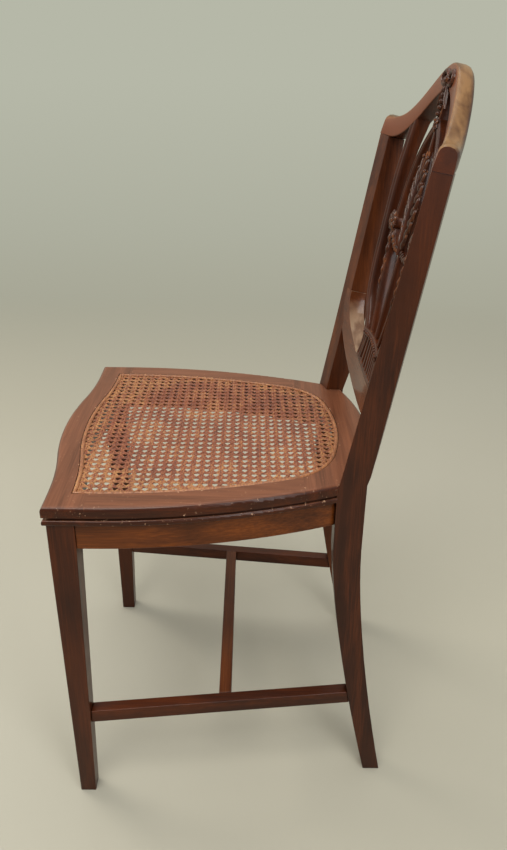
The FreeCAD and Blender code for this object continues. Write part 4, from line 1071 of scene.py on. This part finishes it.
@dataclass
class CanedSeat:
    """Woven cane in the seat's opening, and the round spline that holds its edge.

    Depths run behind the seat's front corners, in mm.
    """

    sheet: ShieldSheet
    half_width: float = 201.0
    half_rear: float = 148.0
    bulge: float = 16.0
    wave_half: float = 165.0
    member_depth: float = 47.0
    post_front: float = 326.0
    rear_depth: float = 332.0
    rim_front: float = 36.0
    rim_side: float = 38.0
    corner: float = 77.0
    rear_radius: float = 292.0
    pitch: float = 11.2
    strand: float = 2.4
    strand_gap: float = 0.24
    binding: float = 4.4
    binding_level: float = 0.5
    panel_height: float = 447.9
    shortest: float = 6.0

    def wave_y(self, x: float, shift: float) -> float:
        """The seat's front edge at a station across it.

        Args:
            x: The station.
            shift: How far the edge is drawn in.

        Returns:
            The edge's depth.
        """
        x, half = abs(x), self.wave_half
        radius = (half ** 2 + self.bulge ** 2) / (4.0 * self.bulge)
        if x >= half:
            return shift
        if x >= half / 2.0:
            return shift - radius + math.sqrt(radius ** 2 - (half - x) ** 2)
        return shift - self.bulge + radius - math.sqrt(radius ** 2 - x ** 2)

    def arc(self, centre: Vector, radius: float, start: float, finish: float, steps: int) -> list[Point]:
        """Points along an arc, without its first one."""
        angles = [start + (finish - start) * step / steps for step in range(1, steps + 1)]
        return [(centre.x + radius * math.cos(angle), centre.y + radius * math.sin(angle)) for angle in angles]

    def outline(self, grow: float) -> list[Point]:
        """The opening's edge, grown by a margin, as a closed run of points.

        Args:
            grow: The margin, in mm.

        Returns:
            The points, anticlockwise from the middle of the front.
        """
        inset = self.rim_side - grow
        run = self.post_front - self.member_depth
        drawn_in = self.half_width - self.half_rear
        side_radius = (run ** 2 + drawn_in ** 2) / (2.0 * drawn_in)
        side_centre = Vector((self.half_width - side_radius, self.member_depth))
        rear_centre = Vector((0.0, self.rear_depth - self.rear_radius))
        side_radius -= inset
        rear_radius = self.rear_radius + grow
        corner = self.corner + grow
        reach_side, reach_rear = side_radius - corner, rear_radius - corner
        between = rear_centre - side_centre
        ahead = (reach_side ** 2 - reach_rear ** 2 + between.length_squared) / (2.0 * between.length)
        aside = math.sqrt(reach_side ** 2 - ahead ** 2)
        unit = between.normalized()
        corner_centre = side_centre + unit * ahead + Vector((-unit.y, unit.x)) * aside
        half = self.half_width - inset
        shift = self.rim_front - grow
        stations = [half * step / 24.0 for step in range(25)]
        right = [(x, self.wave_y(x, shift)) for x in stations] + [(half, self.member_depth)]
        turn = math.atan2(corner_centre.y - side_centre.y, corner_centre.x - side_centre.x)
        finish = math.atan2(corner_centre.y - rear_centre.y, corner_centre.x)
        right += self.arc(side_centre, side_radius, 0.0, turn, 12)
        right += self.arc(corner_centre, corner, turn, finish, 12)
        right += self.arc(rear_centre, rear_radius, finish, math.pi / 2.0, 6)
        return right + [(-x, y) for x, y in reversed(right[1:-1])]

    def crossing(self, edge: Sequence[Point], start: Vector, way: Vector) -> tuple[float, float] | None:
        """Where a straight line enters and leaves a closed outline.

        Args:
            edge: The outline's points.
            start: A point of the line.
            way: The line's direction, of length one.

        Returns:
            The two distances along the line, or None where it misses.
        """
        normal = Vector((-way.y, way.x))
        found = []
        for here, there in zip(edge, list(edge[1:]) + [edge[0]]):
            a, b = Vector(here) - start, Vector(there) - start
            side_a, side_b = a.dot(normal), b.dot(normal)
            if (side_a > 0.0) != (side_b > 0.0):
                share = side_a / (side_a - side_b)
                found.append((a + (b - a) * share).dot(way))
        return (min(found), max(found)) if len(found) > 1 else None

    def strands(self, layer: Layer) -> bpy.types.Mesh:
        """All the strands that run one way.

        Args:
            layer: The layer to lay.

        Returns:
            The strands as one mesh.
        """
        edge = self.outline(STRAND_OUTSET)
        centre = Vector((0.0, self.rear_depth - 0.5 * self.pitch))
        way = Vector(layer.way)
        normal = Vector((-way.y, way.x))
        step = layer.period / 4.0
        runs = []
        for number, offset in enumerate(layer.offsets):
            start = centre + normal * offset
            ends = self.crossing(edge, start, way)
            if ends is None or ends[1] - ends[0] < self.shortest:
                continue
            stations = [ends[0]]
            place = math.ceil((ends[0] + 0.5) / step) * step
            while place < ends[1] - 0.5:
                stations.append(place)
                place += step
            stations.append(ends[1])
            run = []
            for along in stations:
                spot = start + way * along
                wave = math.cos(2.0 * math.pi * along / layer.period + math.pi * number)
                run.append((spot.x, spot.y, layer.level + layer.rise * wave, 1.0))
            runs.append(run)
        half = self.strand / 2.0
        return trace(runs, [(-half, -0.3), (half, -0.3), (half * 0.6, 0.35), (-half * 0.6, 0.35)])

    def put(self, point: Vector) -> Vector:
        """Take a point of the seat's plan to the chair."""
        return Vector((point.x, self.sheet.front_y + point.y, self.panel_height + point.z)) * MM

    def layers(self) -> tuple[Layer, ...]:
        """The four layers of the weave, from the lowest up.

        Returns:
            Pairs of strands along and across the seat, and single ones on both slants.
        """
        pitch = self.pitch
        pair = (self.strand + self.strand_gap) / 2.0
        uprights = [(k + 0.5) * pitch + side for k in range(-20, 21) for side in (-pair, pair)]
        rows = [-k * pitch - side for k in range(-2, 34) for side in (-pair, pair)]
        slanted = [k * pitch / math.sqrt(2.0) for k in range(-62, 63)]
        root, long_period = math.sqrt(0.5), pitch * math.sqrt(2.0)
        return (
            Layer("cane_uprights", (0.0, 1.0), uprights, -0.15, 0.3, 2.0 * pitch, 90.0),
            Layer("cane_rows", (1.0, 0.0), rows, 0.15, 0.3, 2.0 * pitch, 0.0),
            Layer("cane_slants_left", (root, root), slanted, 0.45, 0.5, long_period, -45.0),
            Layer("cane_slants_right", (root, -root), slanted, 0.6, 0.5, long_period, 45.0),
        )

    def build(self) -> None:
        """Weave the panel and lay the spline."""
        for layer in self.layers():
            material = RattanCane(layer.name, turn=math.radians(layer.turn)).build()
            finish_piece(layer.name, [self.strands(layer)], self.put, material, ["cane_panel"])
        half = self.binding / 2.0
        section = [(half * math.cos(a), 1.0 + 1.3 * math.sin(a)) for a in [math.pi * i / 5.0 for i in range(6)]]
        section = [(half, 0.0)] + section + [(-half, 0.0)]
        ring = [(x, y, self.binding_level, 1.0) for x, y in self.outline(SPLINE_OUTSET)]
        meshes = [trace([ring], section, closed=True), self.loops(half)]
        spline = RattanCane("spline", pale_everywhere=0.25).build()
        finish_piece("cane_binding", meshes, self.put, spline, ["cane_spline"])

    def loops(self, half: float) -> bpy.types.Mesh:
        """The strand that is looped over the binding once in every hole.

        Args:
            half: Half the binding's width.

        Returns:
            One short strap for each hole, as one mesh.
        """
        edge = self.outline(SPLINE_OUTSET)
        low, high = self.binding_level + 0.3, self.binding_level + 2.3
        straps = []
        left = 0.0
        for here, there in zip(edge, edge[1:] + edge[:1]):
            run = Vector(there) - Vector(here)
            length = run.length
            way = run / length
            side = Vector((way.y, -way.x)) * (half + 0.5)
            place = left
            while place < length:
                spot = Vector(here) + way * place
                over = [spot + side * share for share in (1.0, 0.5, -0.5, -1.0)]
                straps.append([(at.x, at.y, level, 1.0) for at, level in zip(over, (low, high, high, low))])
                place += self.pitch
            left = place - length
        return trace(straps, [(-1.1, -0.25), (1.1, -0.25), (0.7, 0.3), (-0.7, 0.3)])


# The joinery that stays as it was cut


@dataclass
class Joinery:
    """The members whose solids already have their true shape: their edges are softened and they are finished."""

    boards: dict[tuple[str, ...], PolishedMahogany]
    edge: float = 1.1
    post_edge: float = 0.5
    block_edge: float = 0.6
    screw_edge: float = 0.2

    def dress(self) -> None:
        """Give every shown solid its material and soft edges."""
        for names, board in self.boards.items():
            material = board.build()
            for name in names:
                self.polish(name, material, self.post_edge if name.startswith("rear_post") else self.edge)
        # Beech off the saw: matt, even and pale brown, so that the hidden blocks don't draw the eye.
        beech = PlainFinish("unpolished_beech", "#8a6238", "#5f3f22").build()
        for name in ("front_corner_block_left", "front_corner_block_right", "rear_corner_block_left",
                     "rear_corner_block_right", "seat_frame_dowels"):
            self.polish(name, beech, self.block_edge)
        # Turned steel screws gone dull: grey with a broad soft glint.
        steel = PlainFinish("dull_screw_steel", "#8b8a86", "#4b4a48", metallic=1.0, roughness=0.45).build()
        self.polish("seat_screws", steel, self.screw_edge)

    def polish(self, name: str, material: bpy.types.Material, edge: float) -> None:
        """Dress one solid.

        Args:
            name: The node's name.
            material: What it is made of.
            edge: How much its edges are broken, in mm.
        """
        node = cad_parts[name]
        node.data.materials.clear()
        node.data.materials.append(material)
        weld = node.modifiers.new("weld", "WELD")
        weld.merge_threshold = 0.01 * MM
        soft = node.modifiers.new("soft_edges", "BEVEL")
        soft.width = edge * MM
        soft.segments = 2
        soft.limit_method = "ANGLE"
        soft.angle_limit = math.radians(40.0)
        flat = node.modifiers.new("even_faces", "WEIGHTED_NORMAL")
        flat.keep_sharp = False
        flat.weight = 80
        log.info("%s polished", name)


# The studio


@dataclass(frozen=True)
class Lamp:
    """One soft lamp: where it stands and aims in metres, how wide and high it is, and its power in watts."""

    name: str
    place: tuple[float, float, float]
    aim: tuple[float, float, float]
    size: Point
    power: float
    colour: str

    def hang(self) -> None:
        """Put the lamp into the scene."""
        data = bpy.data.lights.new(self.name, "AREA")
        data.shape = "RECTANGLE"
        data.size, data.size_y = self.size
        data.energy = self.power
        data.color = srgb(self.colour)[:3]
        lamp = bpy.data.objects.new(self.name, data)
        lamp.location = self.place
        lamp.rotation_euler = (Vector(self.aim) - Vector(self.place)).to_track_quat("-Z", "Y").to_euler()
        bpy.context.scene.collection.objects.link(lamp)


@dataclass(frozen=True)
class Studio:
    """A pale floor that turns up into a backdrop, soft lamps and the camera.

    The floor's sizes are in metres. The camera's focal length and image height are in pixels of the photograph,
    and its stand is in mm from the middle of the seat's front corners.
    """

    floor: str = "#aeab9b"
    floor_light: str = "#b4b2a4"
    backdrop: tuple[tuple[float, str], ...] = ((0.1, "#a9a694"), (0.3, "#a7a695"), (0.52, "#adae9e"), (0.8, "#b6b8a8"))
    floor_near: float = 2.6
    floor_half: float = 4.5
    floor_run: float = 5.4
    turn_up: float = 1.6
    turn_steps: int = 12
    wall: float = 3.0
    lamps: tuple[Lamp, ...] = (
        Lamp("key_lamp", (1.25, -0.35, 2.7), (0.0, 0.0, 0.4), (1.3, 1.3), 38.0, "#fffaf2"),
        Lamp("top_lamp", (-0.9, -0.3, 3.3), (-0.2, 0.0, 0.4), (2.6, 2.6), 34.0, "#fffcf6"),
        Lamp("front_lamp", (-1.3, -2.4, 2.1), (0.0, 0.0, 0.6), (1.3, 1.3), 38.0, "#fff6ea"),
        Lamp("window_lamp", (1.2, 0.62, 1.35), (-0.12, 0.15, 0.57), (0.5, 1.2), 9.0, "#ffffff"),
    )
    surround: str = "#f4f4f0"
    surround_strength: float = 0.43
    focal: float = 769.22
    image_height: float = 850.0
    sensor: float = 36.0
    pitch: float = math.radians(26.61)
    turn: float = math.radians(89.63)
    roll: float = math.radians(0.89)
    stand: tuple[float, float, float] = (898.76, 224.34, 902.41)

    def build_floor(self) -> None:
        """The floor and its backdrop as one curved sheet, drawn out of one edge."""
        shape = bmesh.new()
        ends = [shape.verts.new((self.floor_near, y, -0.0005)) for y in (-self.floor_half, self.floor_half)]
        edges = [shape.edges.new(ends)]
        steps = [Vector((-self.floor_run, 0.0, 0.0))]
        for index in range(self.turn_steps):
            low, high = (math.pi / 2.0 * (index + more) / self.turn_steps for more in (0, 1))
            back, rise = math.sin(high) - math.sin(low), math.cos(low) - math.cos(high)
            steps.append(Vector((-self.turn_up * back, 0.0, self.turn_up * rise)))
        steps.append(Vector((0.0, 0.0, self.wall)))
        for step in steps:
            made = bmesh.ops.extrude_edge_only(shape, edges=edges)["geom"]
            verts = [item for item in made if isinstance(item, bmesh.types.BMVert)]
            bmesh.ops.translate(shape, vec=step, verts=verts)
            fresh = [item for item in made if isinstance(item, bmesh.types.BMEdge)]
            edges = [edge for edge in fresh if all(vertex in verts for vertex in edge.verts)]
        bmesh.ops.recalc_face_normals(shape, faces=shape.faces)
        mesh = to_mesh(shape, "studio_floor")
        mesh.shade_smooth()
        mesh.materials.append(self.paper())
        floor = bpy.data.objects.new("studio_floor", mesh)
        bpy.context.scene.collection.objects.link(floor)
        log.info("studio_floor laid")

    def paper(self) -> bpy.types.Material:
        """Matt studio paper.

        Returns:
            The finished material.
        """
        # It gives the eye an even grey green with no gloss. Where it rises behind the chair it is seen at the same
        # tone from everywhere, also in the polish.
        material, tree = new_tree("matt_studio_paper")
        place = add_node(tree, Kind.COORDINATES).outputs["Object"]
        noise = add_node(tree, Kind.NOISE, {"Vector": place, "Scale": 0.7, "Detail": 1.0})
        colour = add_node(tree, Kind.RAMP, {"Fac": noise}, [(0.3, srgb(self.floor)), (0.7, srgb(self.floor_light))])
        matt = add_node(tree, Kind.SURFACE, {"Base Color": colour, "Roughness": 0.9})
        axes = add_node(tree, Kind.AXES, {0: place}).outputs
        rise = add_node(tree, Kind.MATH, {0: axes[2], 1: axes[0]}, operation="SUBTRACT")
        rise = add_node(tree, Kind.MATH, {0: rise, 1: 6.0}, operation="DIVIDE")
        tone = add_node(tree, Kind.RAMP, {"Fac": rise}, [(at, srgb(code)) for at, code in self.backdrop])
        even = add_node(tree, Kind.GLOW, {"Color": tone})
        rays = add_node(tree, Kind.RAYS).outputs
        seen = rays["Is Camera Ray"]
        for ray in ("Is Glossy Ray", "Is Transmission Ray"):
            seen = add_node(tree, Kind.MATH, {0: seen, 1: rays[ray]}, operation="MAXIMUM")
        away = add_node(tree, Kind.MATH, {0: axes[0], 1: -0.25}, operation="MULTIPLY")
        far = add_node(tree, Kind.RAMP, {"Fac": away}, [(0.16, 0.0), (0.5, 1.0)])
        share = add_node(tree, Kind.MATH, {0: seen, 1: far}, operation="MULTIPLY")
        mixed = add_node(tree, Kind.MIX_SURFACES, {0: share, 1: matt, 2: even})
        add_node(tree, Kind.OUTPUT, {"Surface": mixed})
        return material

    def light(self) -> None:
        """Hang the lamps and light the world."""
        for lamp in self.lamps:
            lamp.hang()
        world = bpy.data.worlds.new("studio")
        world.use_nodes = True
        back = world.node_tree.nodes["Background"]
        back.inputs["Color"].default_value = srgb(self.surround)
        back.inputs["Strength"].default_value = self.surround_strength
        bpy.context.scene.world = world

    def place_camera(self, front_y: float) -> None:
        """Stand the camera where the photograph was taken from.

        Args:
            front_y: Where the seat's front corners are, in mm.
        """
        level_share = math.cos(self.pitch)
        back = Vector((math.sin(self.turn) * level_share, -math.cos(self.turn) * level_share, math.sin(self.pitch)))
        right = (-back).cross(Vector((0.0, 0.0, 1.0))).normalized()
        up = right.cross(-back)
        level = right * math.cos(self.roll) + up * math.sin(self.roll)
        tilted = up * math.cos(self.roll) - right * math.sin(self.roll)
        data = bpy.data.cameras.new("camera")
        data.sensor_fit = "VERTICAL"
        data.sensor_height = self.sensor
        data.lens = self.focal / self.image_height * self.sensor
        camera = bpy.data.objects.new("camera", data)
        spot = Vector(self.stand) + Vector((0.0, front_y, 0.0))
        camera.matrix_world = Matrix.Translation(spot * MM) @ Matrix((level, tilted, back)).transposed().to_4x4()
        bpy.context.scene.collection.objects.link(camera)
        bpy.context.scene.camera = camera


def boards() -> dict[tuple[str, ...], PolishedMahogany]:
    """The boards that the plain members are cut from, each with its own grain and tone; the rear posts' two tones are
    partly painted light and shade.

    Returns:
        The names of the members that come from each board.
    """
    return {
        # The seat frame's tops are painted paler, partly dust and partly painted top light.
        ("seat_frame_front", "seat_frame_rear"): PolishedMahogany(
            "seat_frame_across", Grain.ACROSS, chipped=1.0, dust_and_top_light_share=0.7),
        ("seat_frame_side_left", "seat_frame_side_right"): PolishedMahogany(
            "seat_frame_along", Grain.ALONG, chipped=1.0, dust_and_top_light_share=0.7),
        ("front_rail", "rear_rail", "cross_stretcher"): PolishedMahogany(
            "cross_members", Grain.ACROSS, middle="#45200d", warm="#6d3b1c"),
        ("side_rail_left", "side_rail_right"): PolishedMahogany(
            "side_rails", Grain.ALONG, middle="#5a2c0e", warm="#8a4816"),
        ("side_stretcher_left", "side_stretcher_right"): PolishedMahogany("side_stretchers", Grain.ALONG),
        ("front_leg_left", "front_leg_right"): PolishedMahogany("front_legs", Grain.UP),
        # The two rear posts are the same wood: the near left post is painted darker as painted shade and the far right
        # post lighter as painted light, partly also a real difference of tone.
        ("rear_post_left",): PolishedMahogany("rear_post_left", Grain.UP, middle="#32160a", warm="#5a2b12"),
        ("rear_post_right",): PolishedMahogany("rear_post_right", Grain.UP, middle="#48220e", warm="#713c1b"),
    }


def main() -> None:
    """Build the looks in order."""
    logging.basicConfig(level=logging.INFO)
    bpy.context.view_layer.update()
    front_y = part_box("seat_frame_front")[0].y / MM + CanedSeat.bulge
    sheet = ShieldSheet(front_y)
    back = ShieldBack(
        sheet,
        # The crest's front is painted paler as painted front light, and its top carries a pale painted highlight that
        # is partly rubbed wood.
        crest_wood=PolishedMahogany("crest", Grain.ACROSS, bare_and_highlight_share=0.7, painted_front_light_share=0.75).build(),
        # The pale colour on the upward faces of the shield's base is a painted highlight over the window lamp's real
        # reflection, and partly a paler rubbed finish.
        base_wood=PolishedMahogany("shield_foot", Grain.ACROSS, middle="#4d2511", warm="#7a4524", bare_and_highlight_share=0.7,
                                   bare_and_highlight="#ab9278", roughness=0.3, coat=0.45).build(),
        splat_wood=PolishedMahogany("splat", Grain.UP).build(),
    )
    back.build_crest()
    back.build_base()
    back.build_splat()
    CanedSeat(sheet).build()
    Joinery(boards()).dress()
    studio = Studio()
    studio.build_floor()
    studio.light()
    studio.place_camera(sheet.front_y)
    bpy.context.scene.view_settings.view_transform = "Standard"


if __name__ == "__main__":
    main()
